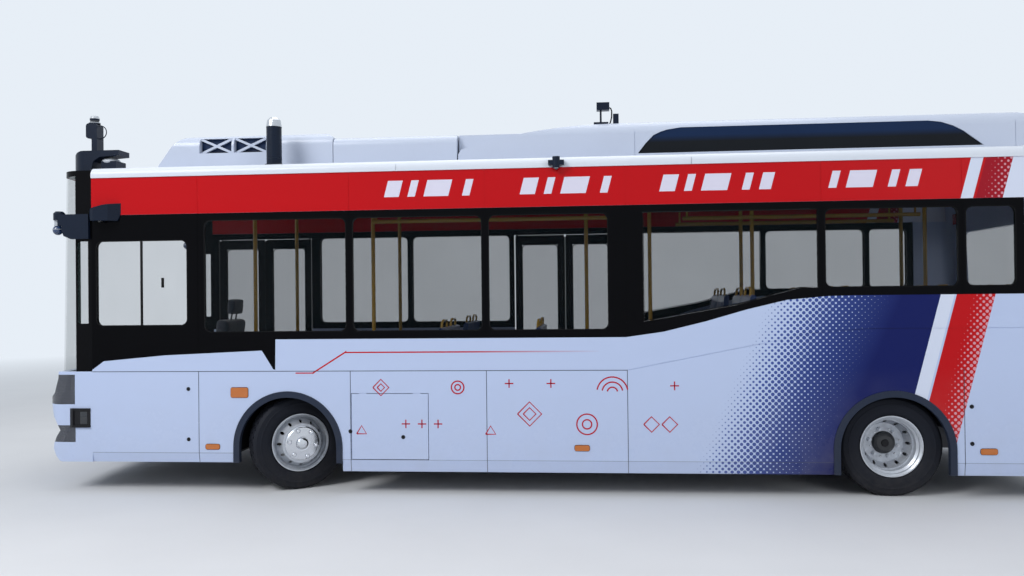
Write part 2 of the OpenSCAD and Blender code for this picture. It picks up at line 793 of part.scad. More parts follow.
module roof_sensors() {
  color([0.05, 0.07, 0.13]) {
    both() translate([0, -tower_y, 0]) sensor_tower();
    translate([fx(post_x), -post_y, roof_z]) {
      cylinder(h = post_top - roof_z - 72, r = post_r);
      translate([0, 0, post_top - roof_z - 72]) cylinder(h = 50, r1 = post_r, r2 = post_r - 8);
      translate([0, 0, post_top - roof_z - 22]) cylinder(h = 22, r1 = post_r - 8, r2 = 30);
    }
    on_main_cover(4640, 4760, -800, -710, cover_top_z + 10);
    block(4690, 4706, -764, -748, cover_top_z + 9, cover_top_z + 130);
    block(4664, 4770, -790, -720, cover_top_z + 112, cover_top_z + 176);
    on_main_cover(4800, 4846, -780, -730, cover_top_z + 80);
    both() {
      block(4280, 4404, half_w + rail_lip, half_w + rail_lip + 50, rail_z + 12, rail_z + 50);
      translate([fx(4342), half_w + rail_lip + 31, rail_z - 12]) cylinder(h = 90, r = 30);
    }
  }
}

// Side outlines of the covers as [station, height]
front_cover_side = [[880, roof_z], [914, roof_z + 70], [959, roof_z + 130], [1023, front_cover_z - 89], [1088, front_cover_z - 31],
                    [1132, front_cover_z - 8], [1190, front_cover_z], [2370, front_cover_z], [2394, front_cover_z - 8],
                    [2440, low_cover_z + 4], [2440, roof_z]];
main_cover_nose = [3510, 4950];
main_cover_foot = roof_z + 130;

// The main cover rises from the low cover in one smooth curve
main_cover_side = concat(
  [[main_cover_nose[0], roof_z], [main_cover_nose[0], roof_z + 90], [main_cover_nose[0] + 24, main_cover_foot]],
  [for (i = [1:10]) let (t = i / 10)
    [main_cover_nose[0] + t * (main_cover_nose[1] - main_cover_nose[0]),
     main_cover_foot + (cover_top_z - main_cover_foot) * (1 - pow(1 - t, 2))]],
  [[7990, cover_top_z], [8060, cover_top_z - 30], [8100, cover_top_z - 110], [8120, roof_z]]);

module cover(outline, top_r) {
  d_a = outline[0][0];
  d_b = outline[len(outline) - 1][0];
  z_top = max([for (p = outline) p[1]]);
  difference() {
    intersection() {
      slab(-cover_w / 2, cover_w / 2) polygon(at_x(outline));
      run(d_a - 1, d_b + 1) translate([0, roof_z]) arch_top_rect(cover_w, z_top - roof_z, top_r);
    }
    children();
  }
}

lattice_x = [1262, 1566, 1870];
lattice_z = [roof_z + 155, front_cover_z - 27];
lattice_bar = 20;

module front_cover() {
  zl = lattice_z[0];
  zh = lattice_z[1];
  color([0.86, 0.9, 0.95]) {
    cover(front_cover_side, 95) {
      block(1150, 2290, -cover_w / 2 + 110, cover_w / 2 - 110, roof_z - 1, front_cover_z - cover_t);
      for (i = [0:1]) both()
        block(lattice_x[i] + lattice_bar / 2, lattice_x[i + 1] - lattice_bar / 2, cover_w / 2 - 111, cover_w / 2 + 10, zl, zh);
    }
    for (i = [0:1]) both() lattice_cross(lattice_x[i] + lattice_bar / 2, lattice_x[i + 1] - lattice_bar / 2, zl, zh);
  }
}

// Two crossed bars in one opening of the lattice
module lattice_cross(d_a, d_b, zl, zh) {
  w = d_b - d_a;
  h = zh - zl;
  intersection() {
    block(d_a - 1, d_b + 1, cover_w / 2 - 54, cover_w / 2 - 32, zl - 1, zh + 1);
    for (s = [-1, 1]) translate([fx((d_a + d_b) / 2), cover_w / 2 - 43, (zl + zh) / 2]) rotate([0, s * atan(h / w), 0])
      cube([2 * w, 24, lattice_bar], center = true);
  }
}

module low_cover() {
  color([0.86, 0.9, 0.95]) cover([[2446, roof_z], [2446, low_cover_z], [3500, low_cover_z], [3500, roof_z]], 70)
    block(2500, 3400, -cover_w / 2 + 90, cover_w / 2 - 90, roof_z - 1, low_cover_z - cover_t);
}

// Long dark panel let into each side of the main cover: [station, height]
panel_low_z = roof_z + 62;
panel_top_z = cover_top_z - 62;
panel_side = [[4996, panel_low_z], [5058, panel_top_z - 126], [5124, panel_top_z - 59], [5180, panel_top_z - 33],
              [5236, panel_top_z - 16], [5346, panel_top_z], [7290, panel_top_z], [7390, panel_top_z - 14],
              [7480, panel_top_z - 46], [7560, panel_top_z - 90], [7711, panel_low_z]];
panel_recess = 26;

module main_cover() {
  color([0.86, 0.9, 0.95]) block(main_cover_nose[0], 4200, -cover_w / 2 + 70, cover_w / 2 - 70, roof_z, low_cover_z);
  color([0.86, 0.9, 0.95]) cover(main_cover_side, 100) {
    block(4300, 7960, -cover_w / 2 + 130, cover_w / 2 - 130, roof_z - 1, cover_top_z - 90);
    both() slab(cover_w / 2 - panel_recess, cover_w / 2 + 10) polygon(at_x(panel_side));
    for (d = [4972, 7953]) both() block(d - 2, d + 2, cover_w / 2 - 4, cover_w / 2 + 4, roof_z + 5, panel_top_z);
  }
}

module cover_inserts() {
  color([0.03, 0.05, 0.08]) both() {
    slab(cover_w / 2 - panel_recess, cover_w / 2 - 10) intersection() {
      polygon(at_x(panel_side));
      translate([fx(5002), 0]) square([2700, 4000]);
    }
    for (i = [0:1]) block(lattice_x[i] + lattice_bar / 2 + fit, lattice_x[i + 1] - lattice_bar / 2 - fit,
                          cover_w / 2 - 72, cover_w / 2 - 58, lattice_z[0] + fit, lattice_z[1] - fit);
  }
}

// Wipers park side by side along the foot of the windscreen
module wipers() {
  color([0.05, 0.05, 0.05]) for (side = [-1, 1]) translate([0, side * 520, 962]) {
    translate([fx(76), 0, 0]) rotate([0, 90, 0]) cylinder(h = 46, r = 24);
    translate([fx(76), 0, 0]) rotate([side * 70, 0, 0]) translate([0, -10, 0]) cube([16, 20, 420]);
    translate([fx(90), 0, 0]) rotate([side * 70, 0, 0]) translate([0, -6, 60]) cube([12, 12, 460]);
  }
}

arch_box_half = 462;
arch_box_in = 618;
arch_box_top = 850;
rear_box_in = 655;
box_t = 18;

module underframe() {
  cross_front = [600, 1560, 2780, 3720, 4940];
  cross_rear = [5250, 6340, 7420, 8040];
  color([0.1, 0.1, 0.11]) {
    both() {
      difference() {
        block(300, floor_step_x + 80, frame_y - frame_w / 2, frame_y + frame_w / 2, frame_z, frame_z + frame_h);
        block(front_axle_x + 66, front_axle_x + 146, 0, half_w, rod_z - 19, rod_z + 19);
      }
      block(floor_step_x + 20, floor_step_x + 80, frame_y - frame_w / 2, frame_y + frame_w / 2, frame_z, rear_frame_z + rear_frame_h);
      block(floor_step_x + 20, 8180, frame_y - frame_w / 2, frame_y + frame_w / 2, rear_frame_z, rear_frame_z + rear_frame_h);
    }
    for (d = cross_front) block(d - 30, d + 30, 12 - wall_in, wall_in - 12, frame_z, frame_z + frame_h);
    for (d = cross_rear) block(d - 30, d + 30, (d > rear_joint ? 40 : 12) - wall_in, wall_in - (d > rear_joint ? 40 : 12),
                               rear_frame_z, rear_frame_z + rear_frame_h);
    for (pad = [[1000, frame_z], [7700, rear_frame_z]]) both()
      block(pad[0] - 45, pad[0] + 45, frame_y - 30, frame_y + 30, pad[1] - 10, pad[1]);
    block(300, 360, -850, 850, frame_z, frame_z + frame_h);
    block(300, 380, tow_y - 40, tow_y + 40, frame_z, floor_z - floor_t);
    block(8120, 8180, -700, 700, tow_z - 40, rear_frame_z + rear_frame_h);
    tow_socket(90, 310, tow_y, 1);
    tow_socket(8170, body_len - 40, -tow_y, -1);
  }
}

// Socket for a screw-in towing eye, open towards the outside
module tow_socket(d_a, d_b, y, way) {
  open_end = way > 0 ? d_a - 1 : d_b - tow_deep;
  difference() {
    translate([fx(d_a), y, tow_z]) rotate([0, 90, 0]) cylinder(h = d_b - d_a, r = tow_r + tow_wall);
    translate([fx(open_end), y, tow_z]) rotate([0, 90, 0]) cylinder(h = tow_deep + 1, r = tow_r);
  }
}

module floor_deck() {
  color([0.35, 0.36, 0.38]) {
    difference() {
      union() {
        rise(floor_z - floor_t, floor_z) polygon(at_x([[390, -860], [390, 860], [front_joint + 10, wall_in - 8],
          [front_joint + 10, wall_in], [floor_step_x + 20, wall_in], [floor_step_x + 20, -wall_in],
          [front_joint + 10, -wall_in], [front_joint + 10, 8 - wall_in]]));
        block(floor_step_x, floor_step_x + 20, -wall_in, wall_in, floor_z - floor_t, rear_floor_z);
        block(floor_step_x, rear_joint, -wall_in, wall_in, rear_floor_z - floor_t, rear_floor_z);
        block(rear_joint, 8120, -wall_in + 40, wall_in - 40, rear_floor_z - floor_t, rear_floor_z);
      }
      both() {
        block(front_arch_x - arch_box_half, front_arch_x + arch_box_half, arch_box_in, wall_in + 1, 0, 700);
        block(rear_axle_x - arch_box_half, rear_axle_x + arch_box_half, rear_box_in, wall_in + 1, 0, 700);
      }
    }
  }
}

module housing(d, y_in, z_a) {
  difference() {
    block(d - arch_box_half, d + arch_box_half, y_in, wall_in, z_a, arch_box_top);
    block(d - arch_box_half + box_t, d + arch_box_half - box_t, y_in + box_t, wall_in + 1, 0, arch_box_top - box_t);
  }
}

module wheel_housings() {
  color([0.2, 0.2, 0.22]) both() {
    housing(front_arch_x, arch_box_in, floor_z - floor_t);
    housing(rear_axle_x, rear_box_in, rear_floor_z - floor_t);
  }
}

module dashboard() {
  color([0.1, 0.1, 0.11]) {
    slab(-1070, 200) polygon(at_x([[400, floor_z], [400, 700], [300, 860], [300, 1010], [430, 1040], [620, 960], [640, 900],
                                   [560, 700], [520, floor_z]]));
    translate([fx(640), -640, 930]) rotate([0, 28, 0]) {
      rotate_extrude($fn = 64) translate([205, 0]) circle(14, $fn = 20);
      for (a = [90, 210, 330]) rotate([0, 0, a]) translate([20, -12, -6]) cube([175, 24, 12]);
      translate([0, 0, -12]) cylinder(h = 24, r = 42);
      translate([0, 0, -70]) cylinder(h = 62, r = 26);
    }
  }
}

module chair(w, base_h) {
  slab(-w / 2, w / 2) polygon([[0, base_h - 70], [0, base_h - 20], [30, base_h], [400, base_h - 22], [440, base_h + 8],
                               [505, seat_back_h - 20], [525, seat_back_h], [552, seat_back_h - 10], [552, seat_back_h - 40],
                               [480, base_h - 30], [440, base_h - 70]]);
}

module driver_seat() {
  color([0.12, 0.12, 0.14]) translate([fx(930), -640, floor_z]) {
    translate([60, -180, 0]) cube([330, 360, 60]);
    translate([120, -60, 60]) cube([200, 120, 320]);
    slab(-240, 240) polygon([[0, 370], [0, 440], [40, 470], [390, 450], [430, 480], [500, 1060], [530, 1090], [590, 1080],
                             [590, 1040], [510, 440], [460, 370]]);
    slab(-130, 130) polygon([[512, 1085], [540, 1240], [590, 1240], [580, 1085]]);
  }
}

// Passenger seats in pairs: [station of the cushion's front, side, floor height]
low_rows = [[2870, -1], [3650, -1], [4430, -1], [2870, 1]];
high_rows = [[5330, -1], [5330, 1], [6080, -1], [6080, 1], [6830, -1], [6830, 1]];

// Each chair has its own leg; where the wall-side chair is over a wheel, its leg stands on the housing
module seat_pair(d, side, z, over) {
  for (k = [-1, 1]) {
    foot = over && k > 0 ? arch_box_top - z : 0;
    translate([fx(d), side * (wall_in - seat_w - 20 + k * (seat_w / 2 + 6)), z]) {
      chair(seat_w, seat_h);
      translate([120, -40, foot]) cube([220, 80, seat_h - 70 - foot]);
    }
  }
}

module passenger_seats() {
  color([0.14, 0.2, 0.42]) {
    for (r = low_rows) seat_pair(r[0], r[1], floor_z, false);
    for (r = high_rows) seat_pair(r[0], r[1], rear_floor_z, r[0] + 120 > rear_axle_x - arch_box_half);
    for (k = [-2:2]) translate([fx(7560), k * (seat_w + 8), rear_floor_z]) {
      chair(seat_w, seat_h);
      translate([60, -160, 0]) cube([340, 320, seat_h - 70]);
    }
  }
}

pole_r = 17;
pole_top = roof_z - roof_t;
// Upright poles: [station, across, floor height]
poles = [[1640, -560, 1], [1640, 560, 1], [2700, -540, 1], [2700, 540, 1], [3600, 300, 1], [4560, -240, 1],
         [4980, 480, 1], [5120, -240, 1], [6000, -300, 2], [6000, 300, 2], [7450, -300, 2], [7450, 300, 2]];
rail_height = 2230;
// Overhead rails on their hangers, just beside the poles: [first station, across, last station]
overhead_rails = [[5400, -336, 7400], [5400, 336, 7400], [2700, -576, 4900]];

module handrails() {
  color([0.95, 0.75, 0.1]) {
    for (p = poles) {
      z = p[2] == 1 ? floor_z : rear_floor_z;
      translate([fx(p[0]), p[1], z]) cylinder(h = pole_top - z, r = pole_r);
    }
    for (r = overhead_rails) {
      translate([fx(r[0]), r[1], rail_height]) rotate([0, 90, 0]) cylinder(h = r[2] - r[0], r = pole_r);
      for (d = [r[0] + 40, r[2] - 40]) translate([fx(d), r[1], rail_height]) cylinder(h = pole_top - rail_height, r = 9);
    }
    translate([fx(1640), -wall_in, 1180]) rotate([-90, 0, 0]) cylinder(h = wall_in - 560, r = pole_r);
    translate([fx(1640), 560, 1180]) rotate([-90, 0, 0]) cylinder(h = wall_in - 560, r = pole_r);
  }
}

module drive_motor() {
  color([0.3, 0.32, 0.34]) {
    block(5640, 6240, -250, 250, 250, rear_floor_z - floor_t - 60);
    translate([fx(6240), 0, axle_z]) rotate([0, 90, 0]) cylinder(h = rear_axle_x - 6240 - 175, r = 45);
    for (s = [-1, 1]) block(5760, 5840, s * 250, s * (frame_y - frame_w / 2), rear_frame_z, rear_frame_z + 40);
  }
}

module battery_block() {
  color([0.25, 0.27, 0.3]) {
    block(5000, 7800, -640, 640, roof_z, roof_z + 190);
    block(7480, 8010, -380, 380, 250, rear_floor_z - floor_t);
  }
}

strut_y = 705;
beam_low = 170;
beam_top = 245;
beam_half = 60;
eye_r = 42;
eye_z = [335, 432];
pin_r = 18;
lock_angle = 38;
arm_len = 120;
rod_z = 291;

module front_axle() {
  color([0.13, 0.13, 0.14]) translate([fx(front_axle_x), 0, 0]) {
    difference() {
      union() {
        translate([-beam_half, -740, beam_low]) cube([2 * beam_half, 1480, beam_top - beam_low]);
        both() {
          translate([-beam_half, 0, 0]) rotate([90, 0, 90]) linear_extrude(height = 2 * beam_half)
            polygon([[725, beam_low], [745, beam_low], [kingpin_y - 100, eye_z[0]], [kingpin_y - 36, eye_z[0]],
                     [kingpin_y - 36, eye_z[1]], [kingpin_y - 100, eye_z[1]], [730, beam_top]]);
          translate([0, kingpin_y, eye_z[0]]) cylinder(h = eye_z[1] - eye_z[0], r = eye_r);
        }
      }
      both() translate([0, kingpin_y, eye_z[0] - 1]) cylinder(h = eye_z[1] - eye_z[0] + 2, r = pin_r + 0.5);
    }
    both() for (x = [-45, 45]) translate([x - 12, frame_y - 30, beam_top]) cube([24, 60, frame_z - beam_top]);
  }
}

// Turns a front wheel's parts about their kingpin by the parked steering angle
module steered(side) {
  translate([fx(front_axle_x), side * kingpin_y, 0]) rotate([0, 0, park_steer]) children();
}

// Knuckle at its kingpin, with Y pointing outboard
module knuckle() {
  ear = 46;
  for (z = [eye_z[0] - ear - 5, eye_z[1] + 5]) translate([0, 0, z]) cylinder(h = ear, r = eye_r);
  translate([-eye_r, 50, eye_z[0] - ear - 5]) cube([2 * eye_r, 24, eye_z[1] - eye_z[0] + 2 * ear + 10]);
  for (z = [eye_z[0] - ear - 5, eye_z[1] + 5]) translate([-eye_r, 0, z]) cube([2 * eye_r, 60, ear]);
  translate([0, 70, axle_z]) rotate([-90, 0, 0]) cylinder(h = 34, r = 60);
  translate([0, 70, axle_z]) rotate([-90, 0, 0]) cylinder(h = 96, r = 32);
  translate([0, 0, eye_z[0] - 20]) cylinder(h = eye_z[1] - eye_z[0] + 40, r = pin_r);
  translate([0, -18, rod_z + 15]) cube([arm_len, 36, 22]);
  translate([arm_len, 0, rod_z + 15]) cylinder(h = 22, r = 20);
  translate([arm_len, 0, rod_z - 14]) cylinder(h = 30, r = 10);
}

module left_knuckle() {
  color([0.2, 0.2, 0.21]) steered(-1) mirror([0, 1, 0]) knuckle();
}

module right_knuckle() {
  color([0.2, 0.2, 0.21]) steered(1) knuckle();
}

arm_end_x = fx(front_axle_x) + arm_len * cos(park_steer);
arm_end_y = arm_len * sin(park_steer);

module track_rod() {
  color([0.2, 0.2, 0.21]) translate([arm_end_x, arm_end_y, rod_z]) difference() {
    union() {
      translate([0, -kingpin_y + 18, 0]) rotate([-90, 0, 0]) cylinder(h = 2 * kingpin_y - 36, r = 13);
      for (y = [-kingpin_y, kingpin_y]) translate([0, y, -12]) cylinder(h = 24, r = 23);
    }
    translate([0, -kingpin_y, -20]) cylinder(h = 40, r = 10.3);
    translate([0, kingpin_y, -20]) cylinder(h = 40, r = 15.5);
  }
}

// Section of a tyre about its axis: [radius, half width]
tyre_half = [[rim_d / 2 + 0.8, rim_w / 2 - 1], [rim_d / 2 + 14, rim_w / 2 - 1], [rim_d / 2 + 24, tyre_w / 2 - 9],
             [rim_d / 2 + 62, tyre_w / 2], [rim_d / 2 + 96, tyre_w / 2 - 2], [tyre_d / 2 - 26, tyre_w / 2 - 9],
             [tyre_d / 2 - 8, tyre_w / 2 - 20], [tyre_d / 2, tyre_w / 2 - 34]];

module tyre() {
  rotate([-90, 0, 0]) rotate_extrude($fn = 64) polygon(concat(
    [for (p = tyre_half) p],
    [for (i = [len(tyre_half) - 1:-1:0]) [tyre_half[i][0], -tyre_half[i][1]]]));
}

rim_flange = rim_d / 2 + 13.5;
rim_edge = rim_w / 2 + 12;
front_disc = 135;
cover_ring_r = 138;
barrel_r = 197;

// Rim barrel section with the disc's cone and plate: way 1 dishes outboard, -1 inboard
module rim_section(disc_w, way) {
  b = rim_d / 2;
  polygon([[rim_flange, -rim_edge], [rim_flange, -rim_edge + 7], [b, -rim_edge + 12], [b, -66], [205, -52],
           [205, 44], [b, 58], [b, rim_edge - 12], [rim_flange, rim_edge - 7], [rim_flange, rim_edge],
           [b + 6, rim_edge], [b - 8, rim_edge - 12], [b - 8, 62], [barrel_r, 49], [barrel_r, -57],
           [b - 8, -71], [b - 8, -rim_edge + 12], [b + 6, -rim_edge]]);
  polygon([[barrel_r + 2, way * 12], [barrel_r + 2, way * 40], [160, way * disc_w], [62, way * disc_w],
           [62, way * (disc_w - 11)], [154, way * (disc_w - 11)], [barrel_r - 10, way * 30], [barrel_r - 8, way * 12]]);
}

module vent_holes() {
  for (i = [0:vent_n - 1]) rotate([0, i * 360 / vent_n, 0]) translate([174, 0, 0]) rotate([-90, 0, 0])
    cylinder(h = 400, r = 12.5, center = true, $fn = 24);
}

// Front rim with its hub, nut ring and dome; Y points outboard from the wheel's middle plane
module front_rim() {
  difference() {
    union() {
      rotate([-90, 0, 0]) rotate_extrude($fn = 64) rim_section(front_disc, 1);
      translate([0, 50, 0]) rotate([-90, 0, 0]) cylinder(h = front_disc - 50, r = 66);
    }
    vent_holes();
    translate([0, 40, 0]) rotate([-90, 0, 0]) cylinder(h = 68, r = 32.5);
  }
  difference() {
    rotate([-90, 0, 0]) rotate_extrude($fn = 64) polygon([[40, front_disc - 1], [cover_ring_r, front_disc - 1],
      [cover_ring_r, front_disc + 8], [cover_ring_r - 8, front_disc + 16], [58, front_disc + 18], [40, front_disc + 14]]);
    for (i = [0:stud_n - 1]) rotate([0, i * 360 / stud_n + 10, 0]) translate([stud_pcd / 2, 100, 0]) rotate([-90, 0, 0])
      cylinder(h = 100, r = 22, $fn = 24);
  }
  for (i = [0:stud_n - 1]) rotate([0, i * 360 / stud_n + 10, 0]) translate([stud_pcd / 2, front_disc - 2, 0])
    rotate([-90, 0, 0]) cylinder(h = 24, r = 16, $fn = 6);
  rotate([-90, 0, 0]) rotate_extrude($fn = 64) polygon([[0, front_disc - 1], [47, front_disc - 1], [47, front_disc + 22],
    [42, front_disc + 33], [30, front_disc + 41], [0, front_disc + 44]]);
}

module rear_rims() {
  p = twin_pitch / 2;
  for (k = [-1, 1]) translate([0, k * p, 0]) difference() {
    rotate([-90, 0, 0]) rotate_extrude($fn = 64) rim_section(p - 0.01, -k);
    vent_holes();
  }
  difference() {
    translate([0, -110, 0]) rotate([-90, 0, 0]) cylinder(h = 100, r = 120);
    translate([0, -120, 0]) rotate([-90, 0, 0]) cylinder(h = 90, r = 40.5);
  }
  rotate([-90, 0, 0]) rotate_extrude($fn = 64) polygon([[0, 0], [88, 0], [88, 22], [80, 44], [60, 56], [0, 60]]);
  for (i = [0:stud_n - 1]) rotate([0, i * 360 / stud_n + 12, 0]) translate([stud_pcd / 2, 8, 0]) {
    rotate([-90, 0, 0]) cylinder(h = 26, r = 17, $fn = 6);
    rotate([-90, 0, 0]) cylinder(h = 42, r = 10, $fn = 24);
  }
}

module rear_twin(side) {
  translate([fx(rear_axle_x), side * (rear_track_half - twin_pitch / 2), axle_z]) {
    if (side > 0) {
      children();
    } else {
      mirror([0, 1, 0]) children();
    }
  }
}

module front_left_tyre() {
  color([0.05, 0.05, 0.055]) steered(-1) translate([0, -kingpin_in, axle_z]) tyre();
}

module front_right_tyre() {
  color([0.05, 0.05, 0.055]) steered(1) translate([0, kingpin_in, axle_z]) tyre();
}

module front_left_rim() {
  color([0.75, 0.78, 0.84]) steered(-1) mirror([0, 1, 0]) translate([0, kingpin_in, axle_z]) front_rim();
}

module front_right_rim() {
  color([0.75, 0.78, 0.84]) steered(1) translate([0, kingpin_in, axle_z]) front_rim();
}

module twin_tyres() {
  for (k = [-1, 1]) translate([0, k * twin_pitch / 2, 0]) tyre();
}

module rear_left_tyres() {
  color([0.05, 0.05, 0.055]) rear_twin(-1) twin_tyres();
}

module rear_right_tyres() {
  color([0.05, 0.05, 0.055]) rear_twin(1) twin_tyres();
}

module rear_left_rims() {
  color([0.75, 0.78, 0.84]) rear_twin(-1) rear_rims();
}

module rear_right_rims() {
  color([0.75, 0.78, 0.84]) rear_twin(1) rear_rims();
}

spring_reach = 330;

module rear_axle() {
  hub_in = rear_track_half - twin_pitch / 2 - 112;
  color([0.13, 0.13, 0.14]) translate([fx(rear_axle_x), 0, axle_z]) {
    rotate([90, 0, 0]) cylinder(h = 2 * hub_in, r = 60, center = true);
    rotate([90, 0, 0]) cylinder(h = 2 * (hub_in + 78), r = 40, center = true);
    sphere(r = 165);
    both() translate([-400, frame_y - 30, -94]) cube([800, 60, 40]);
  }
}

module suspension() {
  color([0.08, 0.08, 0.08]) {
    both() {
      translate([fx(front_axle_x), strut_y, beam_top]) cylinder(h = 400, r = 22);
      bellows(fx(front_axle_x), strut_y, 640, arch_box_top - box_t, 56);
      for (s = [-1, 1]) bellows(fx(rear_axle_x + s * spring_reach), frame_y, axle_z - 54, rear_frame_z, 72);
      block(6310, 6370, 280, 340, 400, rear_frame_z);
      translate([fx(6370), 310, 425]) rotate([0, 90, 0]) cylinder(h = rear_axle_x - 6370 - 54.6, r = 16);
    }
  }
}

// Air spring with rolled lobes between two heights
module bellows(x, y, z_a, z_b, r) {
  h = z_b - z_a;
  translate([x, y, z_a]) rotate_extrude() polygon([[0, 0], [r * 0.8, 0], [r * 0.8, h * 0.12], [r, h * 0.24], [r, h * 0.42],
    [r * 0.86, h * 0.5], [r, h * 0.58], [r, h * 0.82], [r * 0.84, h * 0.92], [r * 0.84, h], [0, h]]);
}

leaf_set = 4;

// One door leaf with its hinge edge at X = 0 and its outer face at Y = 0
module leaf(w) {
  z0 = floor_z + door_gap;
  z1 = door_top_z - door_gap;
  difference() {
    translate([0, -leaf_t, z0]) cube([w, leaf_t, z1 - z0]);
    translate([70, 1, z0 + 90]) rotate([90, 0, 0]) linear_extrude(height = leaf_t + 2)
      round_rect(w - 140, z1 - z0 - 180, 45);
  }
  translate([70 - 0.01, -22, z0 + 90 - 0.01]) rotate([90, 0, 0]) linear_extrude(height = 6)
    round_rect(w - 140 + 0.02, z1 - z0 - 180 + 0.02, 45);
  for (z = [floor_z + fit, z1]) translate([leaf_hinge, -leaf_t / 2, z]) cylinder(h = door_gap - fit, r = 12);
}

function leaf_w(w) = w / 2 - door_gap - 8;

module leaf_pair(d, w, which) {
  translate([fx(d), half_w - leaf_set, 0]) {
    if (which == 0) {
      translate([door_gap, 0, 0]) leaf(leaf_w(w));
    } else {
      translate([w - door_gap, 0, 0]) mirror([1, 0, 0]) leaf(leaf_w(w));
    }
  }
}

module front_door_leaf_a() {
  color([0.1, 0.1, 0.11]) leaf_pair(front_door_x, front_door_w, 0);
}

module front_door_leaf_b() {
  color([0.1, 0.1, 0.11]) leaf_pair(front_door_x, front_door_w, 1);
}

module mid_door_leaf_a() {
  color([0.1, 0.1, 0.11]) leaf_pair(mid_door_x, mid_door_w, 0);
}

module mid_door_leaf_b() {
  color([0.1, 0.1, 0.11]) leaf_pair(mid_door_x, mid_door_w, 1);
}

module service_flap() {
  color([0.8, 0.88, 0.98]) mirror([0, 1, 0]) {
    slab(half_w - flap_t, half_w) flap_outline(0);
    for (d = [flap_x + 60, flap_x + flap_len - 120])
      translate([fx(d), half_w - lid_pin_r, flap_top_z]) rotate([0, 90, 0]) cylinder(h = 60, r = lid_pin_r);
  }
}

underframe();
floor_deck();
wheel_housings();
left_side_wall();
right_side_wall();
left_window_frame();
right_window_frame();
left_glazing();
right_glazing();
left_cantrail();
right_cantrail();
roof_panel();
front_mask();
windscreen_frame();
windscreen();
rear_panel();
rear_upper();
rear_window();
arch_trims();
front_lamps();
corner_sensors();
side_markers();
tail_lamps();
camera_pods();
sensor_deck();
roof_sensors();
front_cover();
low_cover();
main_cover();
cover_inserts();
wipers();
dashboard();
driver_seat();
passenger_seats();
handrails();
drive_motor();
battery_block();
front_axle();
suspension();
rear_axle();
left_knuckle();
right_knuckle();
track_rod();
front_left_tyre();
front_left_rim();
front_right_tyre();
front_right_rim();
rear_left_tyres();
rear_left_rims();
rear_right_tyres();
rear_right_rims();
front_door_leaf_a();
front_door_leaf_b();
mid_door_leaf_a();
mid_door_leaf_b();
service_flap();
rear_hatch();
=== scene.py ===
"""Airport passenger bus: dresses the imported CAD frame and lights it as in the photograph."""

import logging
import math
from dataclasses import dataclass, field
from enum import Enum
from typing import Optional, Sequence, Union

import bmesh
import bpy
from mathutils import Matrix, Vector


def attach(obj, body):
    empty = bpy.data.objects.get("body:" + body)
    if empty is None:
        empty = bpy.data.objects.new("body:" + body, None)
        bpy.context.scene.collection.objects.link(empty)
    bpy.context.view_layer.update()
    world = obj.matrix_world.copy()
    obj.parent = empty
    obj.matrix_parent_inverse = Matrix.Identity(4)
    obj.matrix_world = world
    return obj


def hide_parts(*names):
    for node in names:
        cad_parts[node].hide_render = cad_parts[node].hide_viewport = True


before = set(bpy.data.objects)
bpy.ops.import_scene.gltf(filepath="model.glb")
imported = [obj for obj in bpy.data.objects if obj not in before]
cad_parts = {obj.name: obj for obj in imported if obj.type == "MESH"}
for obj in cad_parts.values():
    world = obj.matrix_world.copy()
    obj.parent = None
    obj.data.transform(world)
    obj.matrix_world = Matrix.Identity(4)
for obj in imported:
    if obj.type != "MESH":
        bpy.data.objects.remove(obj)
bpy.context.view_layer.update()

LOG = logging.getLogger("bus")
NOSE_X = -4.1575
HALF_WIDTH = 1.215
AXLE_HEIGHT = 0.3835
FRONT_AXLE, REAR_AXLE = 2120, 6888
KINGPIN_Y = 0.932
STEER = math.radians(34.0)
UP = Vector((0, 0, 1))
BACKDROP = (0.80, 0.86, 0.93)
Number = Union[int, float]


class Side(Enum):
    """A side of the bus and the sign of its Y."""

    LEFT = -1
    RIGHT = 1


SIDES = tuple((side.value, side.name.lower()) for side in Side)


def station(distance_mm: float) -> float:
    """X in metres of a place given in millimetres behind the nose."""
    return NOSE_X + distance_mm / 1000.0


def spot(distance_mm: float, y: float, z: float) -> Vector:
    """A point given by its station in millimetres and its Y and height in metres."""
    return Vector((station(distance_mm), y, z))


def turned(degrees: float, axis: str = "Y", size: int = 4) -> Matrix:
    """A rotation about one of the axes."""
    return Matrix.Rotation(math.radians(degrees), size, axis)


def rounded(a: float, b: float, low: float, high: float, r: float, count: int = 7) -> list[tuple[float, float]]:
    """A round-cornered outline in X and Z metres.

    Args:
        a: lowest X.
        b: highest X.
        low: lowest Z.
        high: highest Z.
        r: radius of the corners.
        count: points on each corner.

    Returns:
        The points in order.
    """
    step = 90 / (count - 1)
    corners = ((b - r, high - r, 0), (a + r, high - r, 90), (a + r, low + r, 180), (b - r, low + r, 270))
    turns = [(x, z, math.radians(start + step * k)) for x, z, start in corners for k in range(count)]
    return [(x + r * math.cos(t), z + r * math.sin(t)) for x, z, t in turns]


